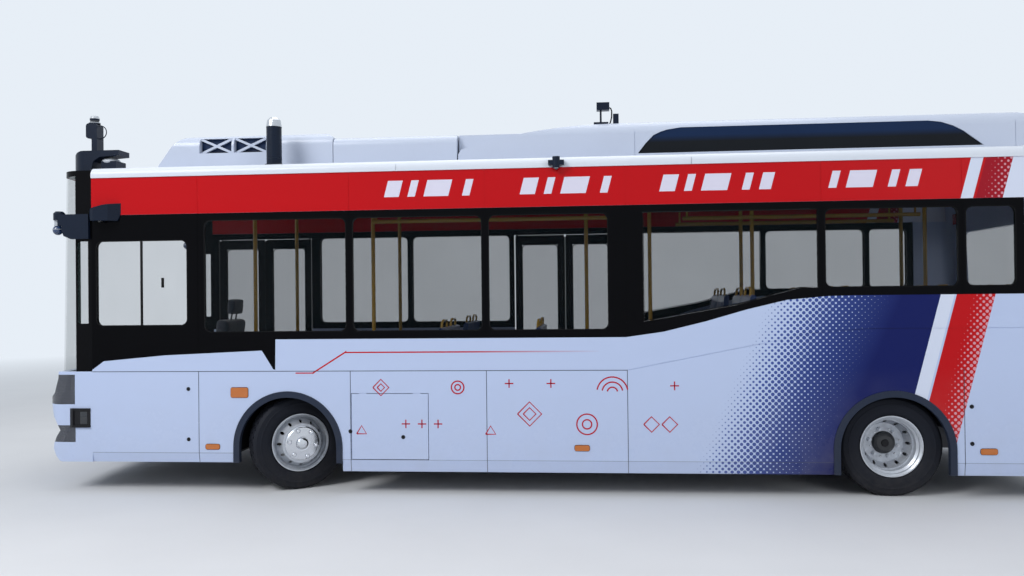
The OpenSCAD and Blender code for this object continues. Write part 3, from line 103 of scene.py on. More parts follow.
class Sock:
    """A shader output whose arithmetic adds Math nodes to its graph."""

    def __init__(self, graph: "Graph", socket: bpy.types.NodeSocket) -> None:
        """Wraps one output socket of a graph's node."""
        self.graph = graph
        self.socket = socket

    def math(self, operation: str, *others: Union["Sock", Number], clamp: bool = False) -> "Sock":
        """Adds one Math node.

        Args:
            operation: Blender's name of the Math operation.
            others: the second and third operands.
            clamp: whether the result is held between 0 and 1.

        Returns:
            The node's output.
        """
        return self.graph.node("ShaderNodeMath", {"operation": operation, "use_clamp": clamp},
                               {i: v for i, v in enumerate((self, *others))})

    def __add__(self, other: Union["Sock", Number]) -> "Sock":
        """Sum."""
        return self.math("ADD", other)

    __radd__ = __add__

    def __sub__(self, other: Union["Sock", Number]) -> "Sock":
        """Difference."""
        return self.math("SUBTRACT", other)

    def __rsub__(self, other: Number) -> "Sock":
        """Difference from a number."""
        return self.graph.node("ShaderNodeMath", {"operation": "SUBTRACT"}, {0: other, 1: self})

    def __mul__(self, other: Union["Sock", Number]) -> "Sock":
        """Product."""
        return self.math("MULTIPLY", other)

    __rmul__ = __mul__

    def __truediv__(self, other: Union["Sock", Number]) -> "Sock":
        """Quotient."""
        return self.math("DIVIDE", other)

    def clamp(self) -> "Sock":
        """The value held between 0 and 1."""
        return self.math("ADD", 0.0, clamp=True)

    def fract(self) -> "Sock":
        """The part after the decimal point."""
        return self.math("FRACT")

    def abs(self) -> "Sock":
        """The value without its sign."""
        return self.math("ABSOLUTE")

    def above(self, edge: Union["Sock", Number], soft: float = 0.0015) -> "Sock":
        """A mask that is 1 where the value is above an edge, with a soft border."""
        return ((self - edge) / soft + 0.5).clamp()

    def below(self, edge: Union["Sock", Number], soft: float = 0.0015) -> "Sock":
        """A mask that is 1 where the value is under an edge."""
        return 1 - self.above(edge, soft)

    def within(self, low: float, high: float, soft: float = 0.0015) -> "Sock":
        """A mask that is 1 between two edges."""
        return self.above(low, soft) * self.below(high, soft)


Value = Union[Sock, Number, Sequence[float]]


class Graph:
    """A node material under construction."""

    def __init__(self, name: str) -> None:
        """Starts an empty node tree with an output and a Principled shader."""
        self.material = bpy.data.materials.new(name)
        self.material.use_nodes = True
        self.tree = self.material.node_tree
        self.tree.nodes.clear()
        self.output = self.tree.nodes.new("ShaderNodeOutputMaterial")
        self.shader = self.tree.nodes.new("ShaderNodeBsdfPrincipled")
        self.tree.links.new(self.shader.outputs[0], self.output.inputs[0])
        self._place: Optional[Sock] = None
        self._axes: dict[int, Sock] = {}

    def _feed(self, socket: bpy.types.NodeSocket, value: Value) -> None:
        """Links a Sock to a socket, or sets the socket's own value."""
        if isinstance(value, Sock):
            self.tree.links.new(value.socket, socket)
        elif isinstance(value, (int, float)):
            socket.default_value = value if socket.type == "VALUE" else (value, value, value)
        else:
            socket.default_value = (*value, 1.0) if socket.type == "RGBA" and len(value) == 3 else tuple(value)

    def node(self, kind: str, settings: dict, inputs: dict, out: Union[int, str] = 0) -> Sock:
        """Adds a node.

        Args:
            kind: the node's type.
            settings: properties set before anything is linked.
            inputs: socket name or number to a value or a Sock.
            out: which output is returned.

        Returns:
            The chosen output.
        """
        made = self.tree.nodes.new(kind)
        for key, value in settings.items():
            setattr(made, key, value)
        for key, value in inputs.items():
            self._feed(made.inputs[key], value)
        return Sock(self, made.outputs[out])

    def place(self) -> Sock:
        """Object coordinates, in metres in the row's frame."""
        if self._place is None:
            self._place = self.node("ShaderNodeTexCoord", {}, {}, "Object")
        return self._place

    def axis(self, index: int) -> Sock:
        """One of the object coordinates."""
        if not self._axes:
            split = self.tree.nodes.new("ShaderNodeSeparateXYZ")
            self.tree.links.new(self.place().socket, split.inputs[0])
            self._axes = {i: Sock(self, split.outputs[i]) for i in range(3)}
        return self._axes[index]

    def noise(self, scale: float, detail: float = 3.0, rough: float = 0.5) -> Sock:
        """Fractal noise between 0 and 1."""
        inputs = {"Vector": self.place(), "Scale": scale, "Detail": detail, "Roughness": rough}
        return self.node("ShaderNodeTexNoise", {}, inputs, "Fac")

    def mix(self, mask: Value, under: Value, over: Value) -> Sock:
        """Lays one colour over another by a mask."""
        made = self.tree.nodes.new("ShaderNodeMix")
        made.data_type = "RGBA"
        for index, value in ((0, mask), (6, under), (7, over)):
            self._feed(made.inputs[index], value)
        return Sock(self, made.outputs[2])

    def bump(self, height: Sock, depth: float, strength: float = 1.0, normal: Optional[Sock] = None) -> Sock:
        """A normal bent by a height in metres."""
        inputs: dict = {"Height": height, "Distance": depth, "Strength": strength}
        if normal is not None:
            inputs["Normal"] = normal
        return self.node("ShaderNodeBump", {}, inputs)

    def output_mix(self, factor: Sock, over: Sock) -> None:
        """Lays another shader over the Principled one by a factor."""
        blend = self.tree.nodes.new("ShaderNodeMixShader")
        self.tree.links.new(factor.socket, blend.inputs[0])
        self.tree.links.new(self.shader.outputs[0], blend.inputs[1])
        self.tree.links.new(over.socket, blend.inputs[2])
        self.tree.links.new(blend.outputs[0], self.output.inputs[0])

    def set(self, **sockets: Value) -> "Graph":
        """Feeds the Principled shader; an underscore in a name stands for a space."""
        for key, value in sockets.items():
            self._feed(self.shader.inputs[key.replace("_", " ")], value)
        return self


@dataclass(frozen=True)
class Finish:
    """A plain moulded or painted finish with fine colour and gloss variation."""

    name: str
    colour: tuple[float, float, float]
    rough: float = 0.5
    metal: float = 0.0
    coat: float = 0.0
    grain: float = 900.0
    grain_depth: float = 0.0
    spread: float = 0.12
    dirt: float = 0.0
    shine: float = 0.5

    def make(self) -> bpy.types.Material:
        """Builds the material.

        Returns:
            A material whose colour, roughness and bump vary over the surface.
        """
        g = Graph(self.name)
        cloud = g.noise(3.1, 4.0, 0.6)
        fine = g.noise(60.0, 3.0, 0.6)
        darker = tuple(c * (1 - self.spread) for c in self.colour)
        lighter = tuple(min(1.0, c * (1 + self.spread)) for c in self.colour)
        base = g.mix((cloud * 0.7 + fine * 0.3), darker, lighter)
        if self.dirt:
            low = g.axis(2).below(0.75, 1.2) * g.noise(7.0, 5.0, 0.65).above(0.42, 0.5) * self.dirt
            base = g.mix(low, base, (0.16, 0.145, 0.125))
            rough = (self.rough + (fine - 0.5) * 0.12 + low * 0.35).clamp()
        else:
            rough = (self.rough + (fine - 0.5) * 0.12 + (cloud - 0.5) * 0.08).clamp()
        g.set(Base_Color=base, Roughness=rough, Metallic=self.metal, Coat_Weight=self.coat, Coat_Roughness=0.06,
              Specular_IOR_Level=self.shine)
        if self.grain_depth:
            g.set(Normal=g.bump(g.noise(self.grain, 2.0), self.grain_depth))
        return g.material


@dataclass(frozen=True)
class Pane:
    """Tinted glass that lets the cabin show through."""

    name: str
    tint: tuple[float, float, float] = (0.18, 0.21, 0.22)
    alpha: float = 0.55
    rough: float = 0.02
    clear_before: float = 0.0
    clear_alpha: float = 0.3
    shine: float = 0.5

    def make(self) -> bpy.types.Material:
        """Builds the material: a dark film whose alpha thins in the clear part.

        Returns:
            A material that mixes a glossy film with what lies behind it.
        """
        g = Graph(self.name)
        ripple = g.noise(1.7, 2.0)
        dust = g.noise(240.0, 2.0).above(0.66, 0.2) * 0.05
        alpha = self.alpha + (ripple - 0.5) * 0.04
        if self.clear_before:
            alpha = alpha - (g.axis(0) - NOSE_X).below(self.clear_before, 0.01) * (self.alpha - self.clear_alpha)
        g.set(Base_Color=g.mix(dust * 0.3, self.tint, (0.5, 0.52, 0.55)), Roughness=(self.rough + dust),
              Alpha=alpha.clamp(), Specular_IOR_Level=self.shine, IOR=1.45, Normal=g.bump(ripple, 0.004, 0.2))
        return g.material


class Halftone:
    """Dots on a turned square grid, drawn on the bus's sides."""

    def __init__(self, graph: Graph, pitch: float) -> None:
        """Lays the grid.

        Args:
            graph: the material's graph.
            pitch: the distance between neighbouring dots in metres.
        """
        diagonal = pitch * math.sqrt(2.0)
        across = ((graph.axis(0) + graph.axis(2)) / diagonal).fract() - 0.5
        up = ((graph.axis(0) - graph.axis(2)) / diagonal).fract() - 0.5
        self.distance = across * across + up * up

    def dots(self, fill: Union[Sock, Number]) -> Sock:
        """A mask of dots whose area follows fill: 0 is bare and 1 is solid."""
        return self.distance.below(fill * 0.57 - 0.03, 0.06)


@dataclass(frozen=True)
class Livery:
    """White body paint, painted in shade as a pale blue-grey, with the blue field, the slanted stripes and the red roof
    band.
    """

    name: str = "livery_paint"
    # pale: the white body paint with painted shade, darker and bluer than the paint itself.
    pale: tuple[float, float, float] = (0.47, 0.55, 0.75)
    blue: tuple[float, float, float] = (0.002, 0.007, 0.090)
    red: tuple[float, float, float] = (0.47, 0.002, 0.005)
    dark_red: tuple[float, float, float] = (0.31, 0.002, 0.012)
    white: tuple[float, float, float] = (0.62, 0.67, 0.80)
    roof_white: tuple[float, float, float] = (0.64, 0.68, 0.75)
    # groove_shade: painted shade inside the panel grooves and on the skirt's creases.
    groove_shade: tuple[float, float, float] = (0.045, 0.055, 0.075)
    slant: float = 0.264
    dot_pitch: float = 0.034
    fade_low: float = 5.45
    fade_slant: float = 0.44
    fade_length: float = 1.01
    blue_end: float = 7.093
    white_end: float = 7.193
    red_edges: tuple[float, float] = (7.209, 7.49)
    band: tuple[float, float] = (2.272, 2.5795)
    joints: tuple[float, ...] = (1.409, 2.671, 3.771, 4.878, 7.398)

    def slanted(self, g: Graph) -> Sock:
        """The station in metres of the slanted line through a point, taken at height 1.0."""
        return g.axis(0) - NOSE_X - (g.axis(2) - 1.0) * self.slant

    def make(self) -> bpy.types.Material:
        """Builds the paint.

        Returns:
            A glossy paint that carries the whole scheme of colours.
        """
        g = Graph(self.name)
        x, z, along = g.axis(0) - NOSE_X, g.axis(2), self.slanted(g)
        side = g.axis(1).abs().above(1.19, 0.004)
        dirt = z.below(0.55, 0.9) * g.noise(5.0, 5.0, 0.65).above(0.45, 0.5)
        # Painted shade: below the band the white paint is the shaded blue-grey; above the band (roof_white) the same
        # paint is painted lighter, as lit.
        base = g.mix((g.noise(1.1, 3.0) - 0.35).clamp() * 0.25, self.pale, (0.42, 0.51, 0.73))
        base = g.mix(z.above(self.band[1]), base, self.roof_white)
        side = side * z.below(self.band[0])
        fade = ((x - self.fade_low - (z - 0.4) * self.fade_slant) / self.fade_length).clamp()
        halftone = Halftone(g, self.dot_pitch)
        shade = g.mix(fade, (0.06, 0.11, 0.38), self.blue)
        blue_mask = halftone.dots(fade) * along.below(self.blue_end) * side
        base = g.mix(blue_mask, base, shade)
        base = g.mix(along.within(self.blue_end, self.white_end) * side, base, self.white)
        red_mask = along.within(*self.red_edges) * side
        base = g.mix(red_mask, base, self.red)
        spots = halftone.dots(((along - 7.32) / 0.25).clamp() * 0.50) * red_mask
        base = g.mix(spots, base, (0.60, 0.30, 0.36))
        band = z.within(*self.band) * g.axis(1).abs().above(1.14, 0.004)
        base = g.mix(band, base, g.mix(along.within(7.165, 8.4), self.red, self.dark_red))
        base = g.mix(band * along.within(7.055, 7.145), base, self.white)
        spots_top = halftone.dots(((along - 7.2) / 0.3).clamp() * 0.40) * band * along.within(7.165, 7.36)
        base = g.mix(spots_top, base, (0.58, 0.28, 0.34))
        base = g.mix(band * along.above(7.36), base, self.white)
        line = z.within(1.126, 1.137, 0.002) * x.within(2.63, 4.66, 0.01)
        step = (x * 0.62 - z - 0.498).within(-0.007, 0.007, 0.002) * x.within(2.36, 2.64, 0.004)
        foot = z.within(0.962, 0.972, 0.002) * x.within(2.22, 2.372, 0.004)
        trail = 1 - ((x - 3.6) / 1.1).clamp()
        base = g.mix((line * trail + step + foot).clamp() * side, base, self.red)
        # Painted shade: dark lines in the real panel grooves and along the skirt's two creases.
        groove_shade_mask = z.within(0.9795, 0.9855, 0.001) * x.within(0.50, 4.878, 0.002)
        for joint in self.joints:
            groove_shade_mask = groove_shade_mask + x.within(joint - 0.0028, joint + 0.0028, 0.001) * z.below(0.986, 0.001)
        groove_shade_mask = groove_shade_mask + z.within(0.3180, 0.3225, 0.001) * x.within(0.50, 1.76, 0.002) * 0.7
        groove_shade_mask = groove_shade_mask + z.within(0.2700, 0.2745, 0.001) * x.within(2.50, 7.85, 0.002) * 0.6
        base = g.mix((groove_shade_mask * side).clamp() * 0.85, base, self.groove_shade)
        base = g.mix(dirt * 0.16, base, (0.35, 0.33, 0.31))
        rough = (0.16 + dirt * 0.25 + g.noise(40.0, 2.0) * 0.05).clamp()
        orange_peel = g.bump(g.noise(420.0, 2.0), 0.00012, 0.4)
        g.set(Base_Color=base, Roughness=rough, Specular_IOR_Level=0.18,
              Normal=g.bump(g.noise(1.6, 2.0), 0.006, 0.25, orange_peel))
        return g.material


class Shape:
    """A mesh under construction, in metres in the row's frame."""

    def __init__(self) -> None:
        """Starts empty."""
        self.bm = bmesh.new()

    def _place(self, verts: Sequence[bmesh.types.BMVert], matrix: Matrix) -> list[bmesh.types.BMVert]:
        """Moves new vertices to their place."""
        bmesh.ops.transform(self.bm, matrix=matrix, verts=list(verts))
        return list(verts)

    def _round(self, verts: Sequence[bmesh.types.BMVert], width: float, segments: int) -> None:
        """Bevels the sharp edges among some vertices."""
        chosen = set(verts)
        edges = [e for e in self.bm.edges if e.verts[0] in chosen and e.verts[1] in chosen and len(e.link_faces) == 2
                 and e.calc_face_angle(0.0) > 0.6]
        bmesh.ops.bevel(self.bm, geom=edges, offset=width, segments=segments, profile=0.5, affect="EDGES", material=-1)

    def box(self, low: Sequence[float], high: Sequence[float], bevel: float = 0.0, segments: int = 2,
            turn: Optional[Matrix] = None) -> "Shape":
        """Adds a box between two corners.

        Args:
            low: lowest corner.
            high: highest corner.
            bevel: radius of its edges.
            segments: bevel segments.
            turn: an extra placement about the box's own middle.

        Returns:
            The shape itself.
        """
        low_v, high_v = Vector(low), Vector(high)
        size = high_v - low_v
        made = bmesh.ops.create_cube(self.bm, size=1.0)["verts"]
        place = Matrix.Translation((low_v + high_v) / 2) @ (turn or Matrix.Identity(4)) @ Matrix.Diagonal((*size, 1.0))
        self._place(made, place)
        if bevel:
            self._round(made, bevel, segments)
        return self

    def rod(self, start: Sequence[float], end: Sequence[float], radius: float, sides: int = 16,
            radius_end: Optional[float] = None) -> "Shape":
        """Adds a closed cylinder or cone between two points."""
        a, b = Vector(start), Vector(end)
        last = radius if radius_end is None else radius_end
        made = bmesh.ops.create_cone(self.bm, cap_ends=True, segments=sides, radius1=radius, radius2=last,
                                     depth=(b - a).length)["verts"]
        turn = (b - a).to_track_quat("Z", "Y").to_matrix().to_4x4()
        self._place(made, Matrix.Translation((a + b) / 2) @ turn)
        return self

    def spin(self, profile: Sequence[tuple[float, float]], centre: Sequence[float], axis: Sequence[float],
             steps: int = 48) -> "Shape":
        """Adds a ring swept from a closed profile.

        Args:
            profile: (radius, along the axis) points in order round the section.
            centre: a point on the axis.
            axis: the direction that the second number runs along.
            steps: how many sections there are.

        Returns:
            The shape itself.
        """
        rings = [self.bm.verts.new((r, 0.0, a)) for r, a in profile]
        edges = [self.bm.edges.new((rings[i], rings[(i + 1) % len(rings)])) for i in range(len(rings))]
        before = set(self.bm.verts) - set(rings)
        bmesh.ops.spin(self.bm, geom=rings + edges, cent=(0, 0, 0), axis=(0, 0, 1), angle=math.tau, steps=steps,
                       use_merge=True, use_duplicate=False)
        made = [v for v in self.bm.verts if v not in before]
        turn = Vector(axis).to_track_quat("Z", "Y").to_matrix().to_4x4()
        self._place(made, Matrix.Translation(Vector(centre)) @ turn)
        return self

    def dome(self, centre: Sequence[float], radii: Sequence[float], sides: int = 24) -> "Shape":
        """Adds an ellipsoid."""
        made = bmesh.ops.create_uvsphere(self.bm, u_segments=sides, v_segments=sides // 2, radius=1.0)["verts"]
        self._place(made, Matrix.Translation(Vector(centre)) @ Matrix.Diagonal((*radii, 1.0)))
        return self

    def slab(self, outline: Sequence[tuple[float, float]], y: float, depth: float) -> "Shape":
        """Adds an outline drawn in X and Z as a plate that stands along Y from y by depth."""
        face = self.bm.faces.new([self.bm.verts.new((x, y, z)) for x, z in outline])
        out = bmesh.ops.extrude_face_region(self.bm, geom=[face])["geom"]
        bmesh.ops.translate(self.bm, vec=(0, depth, 0), verts=[v for v in out if isinstance(v, bmesh.types.BMVert)])
        return self

    def strip(self, points: Sequence[tuple[float, float]], y: float, width: float, depth: float,
              closed: bool = False) -> "Shape":
        """Adds a thin raised line of constant width along points drawn in X and Z."""
        count = len(points)
        flat = [Vector((x, 0.0, z)) for x, z in points]
        sides: list[tuple[bmesh.types.BMVert, bmesh.types.BMVert]] = []
        for i, here in enumerate(flat):
            before = flat[i - 1] if (i or closed) else here
            after = flat[(i + 1) % count] if (i < count - 1 or closed) else here
            way = (after - before).normalized()
            across, out = Vector((-way.z, 0.0, way.x)) * width / 2, Vector((0, y, 0))
            sides.append((self.bm.verts.new(here + across + out), self.bm.verts.new(here - across + out)))
        faces = []
        for i in range(count if closed else count - 1):
            a, b = sides[i], sides[(i + 1) % count]
            faces.append(self.bm.faces.new((a[0], b[0], b[1], a[1])))
        out = bmesh.ops.extrude_face_region(self.bm, geom=faces)["geom"]
        bmesh.ops.translate(self.bm, vec=(0, depth, 0), verts=[v for v in out if isinstance(v, bmesh.types.BMVert)])
        return self

    def tube(self, points: Sequence[Sequence[float]], radius: float, sides: int = 8) -> "Shape":
        """Adds a bent round bar through points, with closed ends."""
        path = [Vector(p) for p in points]
        last: Optional[list[bmesh.types.BMVert]] = None
        for i, here in enumerate(path):
            way = (path[min(i + 1, len(path) - 1)] - path[max(i - 1, 0)]).normalized()
            turn = way.to_track_quat("Z", "Y").to_matrix().to_4x4()
            ring = bmesh.ops.create_circle(self.bm, cap_ends=False, segments=sides, radius=radius)["verts"]
            self._place(ring, Matrix.Translation(here) @ turn)
            edges = [e for v in ring for e in v.link_edges if all(w in ring for w in e.verts)]
            if last is not None:
                bmesh.ops.bridge_loops(self.bm, edges=list(set(edges + last)))
            last = list(set(edges))
            if i in (0, len(path) - 1):
                self.bm.faces.new(ring)
        return self

    def piece(self, name: str, material: bpy.types.Material, body: str = "bus_body",
              smooth: float = 35.0) -> bpy.types.Object:
        """Ends the mesh as an object that rides on a body.

        Args:
            name: the piece's name.
            material: its finish.
            body: the CAD body that it moves with.
            smooth: faces that meet below this angle in degrees are shaded smooth.

        Returns:
            The new object.
        """
        bmesh.ops.remove_doubles(self.bm, verts=self.bm.verts, dist=1e-6)
        bmesh.ops.recalc_face_normals(self.bm, faces=self.bm.faces)
        limit = math.radians(smooth)
        for face in self.bm.faces:
            face.smooth = True
        for edge in self.bm.edges:
            edge.smooth = len(edge.link_faces) == 2 and edge.calc_face_angle(0.0) < limit
        mesh = bpy.data.meshes.new(name)
        self.bm.to_mesh(mesh)
        self.bm.free()
        mesh.materials.append(material)
        made = bpy.data.objects.new(name, mesh)
        bpy.context.scene.collection.objects.link(made)
        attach(made, body)
        LOG.info("piece %s on %s: %d faces", name, body, len(mesh.polygons))
        return made


def dress(material: bpy.types.Material, *names: str) -> None:
    """Gives CAD nodes a finish in place of their plain one."""
    for name in names:
        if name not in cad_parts:
            LOG.warning("no node %s", name)
            continue
        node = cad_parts[name]
        for index in range(len(node.material_slots)):
            node.material_slots[index].material = material
        if not node.material_slots:
            node.data.materials.append(material)


@dataclass
class Studio:
    """Pale floor, soft lamps and the camera at the photograph's place."""

    eye: tuple[float, float, float] = (0.474, -8.281, 1.578)
    yaw: float = 5.255
    pitch: float = 0.45
    roll: float = -0.62
    lens: float = 31.6
    floor_kept: float = 7.5
    floor_fade: float = 14.0
    world_light: float = 0.42

    def floor(self) -> None:
        """Lays the floor, which fades to the backdrop's colour far from the bus."""
        g = Graph("pale_floor")
        base = g.mix(g.noise(0.9, 4.0), (0.60, 0.61, 0.63), (0.68, 0.69, 0.71))
        g.set(Base_Color=base, Roughness=(g.noise(30.0) * 0.1 + 0.75))
        away = ((g.axis(0) * g.axis(0) + g.axis(1) * g.axis(1)).math("SQRT") - self.floor_kept) / self.floor_fade
        rays = [g.node("ShaderNodeLightPath", {}, {}, f"Is {kind} Ray")
                for kind in ("Camera", "Glossy", "Transmission")]
        glow = g.node("ShaderNodeEmission", {}, {"Color": BACKDROP, "Strength": 1.0})
        g.output_mix(away.clamp() * (rays[0] + rays[1] + rays[2]).clamp(), glow)
        bm = bmesh.new()
        bmesh.ops.create_grid(bm, x_segments=1, y_segments=1, size=60.0)
        mesh = bpy.data.meshes.new("floor")
        bm.to_mesh(mesh)
        bm.free()
        mesh.materials.append(g.material)
        floor = bpy.data.objects.new("floor", mesh)
        bpy.context.scene.collection.objects.link(floor)

    def world(self) -> None:
        """Makes a world that lights softly and shows as a pale backdrop."""
        world = bpy.data.worlds.new("studio")
        bpy.context.scene.world = world
        world.use_nodes = True
        tree = world.node_tree
        tree.nodes.clear()
        light, seen, mix, path, out, clear, pick = (tree.nodes.new(f"ShaderNode{kind}") for kind in (
            "Background", "Background", "MixShader", "LightPath", "OutputWorld", "Math", "Math"))
        light.inputs[0].default_value, light.inputs[1].default_value = (0.82, 0.9, 1.0, 1.0), self.world_light
        seen.inputs[0].default_value, seen.inputs[1].default_value = (*BACKDROP, 1.0), 1.0
        clear.operation = pick.operation = "MAXIMUM"
        for source, target in (
                (path.outputs["Is Camera Ray"], clear.inputs[0]),
                (path.outputs["Is Transmission Ray"], clear.inputs[1]),
                (clear.outputs[0], pick.inputs[0]), (path.outputs["Is Glossy Ray"], pick.inputs[1]),
                (pick.outputs[0], mix.inputs[0]), (light.outputs[0], mix.inputs[1]), (seen.outputs[0], mix.inputs[2]),
                (mix.outputs[0], out.inputs[0])):
            tree.links.new(source, target)

    def lamps(self) -> None:
        """Hangs the soft lamps: a high key from the front left and fills."""
        for name, at, aim, size, power in (
                ("key", (-7.5, -9.0, 9.5), (0, 0, 1.2), 6.0, 1050.0),
                ("fill", (8.0, -10.0, 5.0), (0.5, 0, 1.2), 7.0, 330.0),
                ("top", (0.0, 1.0, 10.0), (0, 0, 0), 9.0, 420.0),
                ("back", (1.0, 11.0, 6.0), (0, 0, 1.5), 8.0, 420.0)):
            data = bpy.data.lights.new(name, "AREA")
            data.shape, data.size, data.energy = "DISK", size, power
            lamp = bpy.data.objects.new(name, data)
            turn = (Vector(aim) - Vector(at)).to_track_quat("-Z", "Y").to_matrix().to_4x4()
            lamp.matrix_world = Matrix.Translation(at) @ turn
            lamp.visible_glossy = name in ("key", "top")
            bpy.context.scene.collection.objects.link(lamp)

    def camera(self) -> None:
        """Places the camera."""
        data = bpy.data.cameras.new("camera")
        data.lens, data.sensor_width = self.lens, 36.0
        made = bpy.data.objects.new("camera", data)
        yaw = math.radians(self.yaw)
        way = Vector((-math.sin(yaw), math.cos(yaw), math.tan(math.radians(self.pitch))))
        turn = way.to_track_quat("-Z", "Y").to_matrix().to_4x4() @ turned(self.roll, "Z")
        made.matrix_world = Matrix.Translation(self.eye) @ turn
        bpy.context.scene.collection.objects.link(made)
        bpy.context.scene.camera = made

    def build(self) -> None:
        """Makes the whole studio."""
        self.floor()
        self.world()
        self.lamps()
        self.camera()
        bpy.context.scene.view_settings.view_transform = "Standard"


@dataclass
class Finishes:
    """Every material of the bus, made once."""

    made: dict[str, bpy.types.Material] = field(default_factory=dict)

    def __getitem__(self, name: str) -> bpy.types.Material:
        """The finished material of a name."""
        return self.made[name]

    def wheel_paint(self, name: str, centre: Vector, axis: Vector, hub: float, bright: bool) -> bpy.types.Material:
        """Silver wheel enamel with brake dust, and a hub of its own finish.

        Args:
            name: the material's name.
            centre: a point on the wheel's axis.
            axis: the wheel's axis.
            hub: the radius of the hub's finish in metres.
            bright: whether the hub is chrome; otherwise it is black.

        Returns:
            A material for one rim or a pair of them.
        """
        g = Graph(name)
        dx, dy, dz = (g.axis(i) - centre[i] for i in range(3))
        along = dx * axis[0] + dy * axis[1]
        middle = (dx * dx + dy * dy + dz * dz - along * along).math("SQRT").below(hub, 0.0015)
        cloud, fine = g.noise(9.0, 4.0), g.noise(160.0, 3.0)
        dust = (g.noise(26.0, 5.0, 0.7).above(0.5, 0.3) * 0.3 * (1 - middle)).clamp()
        enamel = g.mix(dust, g.mix(cloud, (0.48, 0.51, 0.56), (0.62, 0.65, 0.70)), (0.22, 0.22, 0.23))
        low, high = (0.010, 0.011, 0.013), (0.020, 0.021, 0.024)
        if bright:
            low, high = (0.62, 0.64, 0.67), (0.74, 0.76, 0.80)
        g.set(Base_Color=g.mix(middle, enamel, g.mix(cloud, low, high)),
              Metallic=(middle * (0.42 if bright else -0.55) + 0.55),
              Roughness=(0.28 + fine * 0.14 + dust * 0.3 - middle * (0.16 if bright else -0.10)).clamp(),
              Coat_Weight=0.3, Normal=g.bump(fine, 0.0002, 0.5))
        return g.material

    def rubber(self) -> bpy.types.Material:
        """Tyre rubber: blue-black, with bloom and dust near the ground.

        Returns:
            A material for the tyres.
        """
        g = Graph("tyre_rubber")
        cloud, fine = g.noise(7.0, 5.0, 0.6), g.noise(500.0, 3.0)
        low = g.axis(2).below(0.22, 0.4) * g.noise(16.0, 5.0, 0.7).above(0.45, 0.4)
        base = g.mix(cloud, (0.0050, 0.0060, 0.0100), (0.0120, 0.0140, 0.0210))
        g.set(Base_Color=g.mix(low * 0.18, base, (0.10, 0.09, 0.08)),
              Roughness=(0.52 + cloud * 0.2 + fine * 0.1).clamp(), Specular_IOR_Level=0.18,
              Normal=g.bump(fine, 0.0005, 0.5))
        return g.material

    def lens(self, name: str, tint: tuple[float, float, float], pitch: float, alpha: float,
             axis: int = 2) -> bpy.types.Material:
        """A lamp lens with moulded ribs, with painted shade: its tint is darker between the ribs.

        Args:
            name: the material's name.
            tint: the lens colour.
            pitch: the distance between two ribs in metres.
            alpha: how much it hides.
            axis: the direction across the ribs.

        Returns:
            A glossy, partly clear material.
        """
        g = Graph(name)
        rib = (g.axis(axis) / pitch).fract() - 0.5
        cross = (g.axis(1 if axis == 2 else 2) / (pitch * 1.6)).fract() - 0.5
        ridge = (1 - rib * rib * 4) * 0.6 + (1 - cross * cross * 4) * 0.4
        # Painted shade: the tint is darker in the valleys between the ribs and full on their crests.
        glow = g.mix(ridge, tuple(c * 0.72 for c in tint), tint)
        g.set(Base_Color=glow, Roughness=(0.08 + g.noise(80.0) * 0.05), Alpha=(alpha + ridge * 0.06).clamp(),
              Coat_Weight=0.6, Normal=g.bump(ridge, pitch * 0.12, 0.6))
        return g.material

    def cloth(self) -> bpy.types.Material:
        """Woven seat cloth with a fine two-colour thread.

        Returns:
            A material for the driver's seat.
        """
        g = Graph("seat_weave")
        warp = ((g.axis(1) / 0.0022).fract() - 0.5).abs() * 2
        weft = (((g.axis(0) + g.axis(2)) / 0.0022).fract() - 0.5).abs() * 2
        thread = warp * weft
        fleck = g.noise(180.0, 3.0).above(0.58, 0.1)
        base = g.mix(fleck * 0.5, (0.035, 0.040, 0.055), (0.12, 0.14, 0.19))
        g.set(Base_Color=g.mix(thread, base, (0.075, 0.085, 0.11)), Roughness=(0.86 + g.noise(40.0) * 0.1).clamp(),
              Sheen_Weight=0.3, Normal=g.bump(thread, 0.0006, 0.7))
        return g.material

    def plush(self) -> bpy.types.Material:
        """Blue plush of the passenger seats, with a small woven lozenge.

        Returns:
            A material for the pads.
        """
        g = Graph("seat_plush")
        a = (((g.axis(0) + g.axis(1) + g.axis(2) * 0.7) / 0.045).fract() - 0.5).abs()
        b = (((g.axis(0) - g.axis(1) + g.axis(2) * 0.7) / 0.045).fract() - 0.5).abs()
        lozenge = (a + b).below(0.30, 0.08)
        nap = g.noise(420.0, 3.0)
        base = g.mix(nap, (0.010, 0.030, 0.13), (0.022, 0.060, 0.22))
        g.set(Base_Color=g.mix(lozenge * 0.6, base, (0.16, 0.20, 0.33)), Roughness=(0.82 + nap * 0.15).clamp(),
              Sheen_Weight=0.35, Normal=g.bump(nap, 0.0011, 0.6))
        return g.material

    def floor_cover(self) -> bpy.types.Material:
        """Slip-proof floor covering with bright flakes.

        Returns:
            A grey speckled material.
        """
        g = Graph("floor_cover")
        flake = g.node("ShaderNodeTexVoronoi", {}, {"Vector": g.place(), "Scale": 170.0}, "Distance").below(0.10, 0.05)
        base = g.mix(g.noise(2.4, 4.0), (0.14, 0.15, 0.17), (0.20, 0.21, 0.23))
        g.set(Base_Color=g.mix(flake * 0.6, base, (0.6, 0.62, 0.66)), Roughness=(0.62 + g.noise(30.0) * 0.15),
              Normal=g.bump(g.noise(300.0), 0.0008, 0.4))
        return g.material

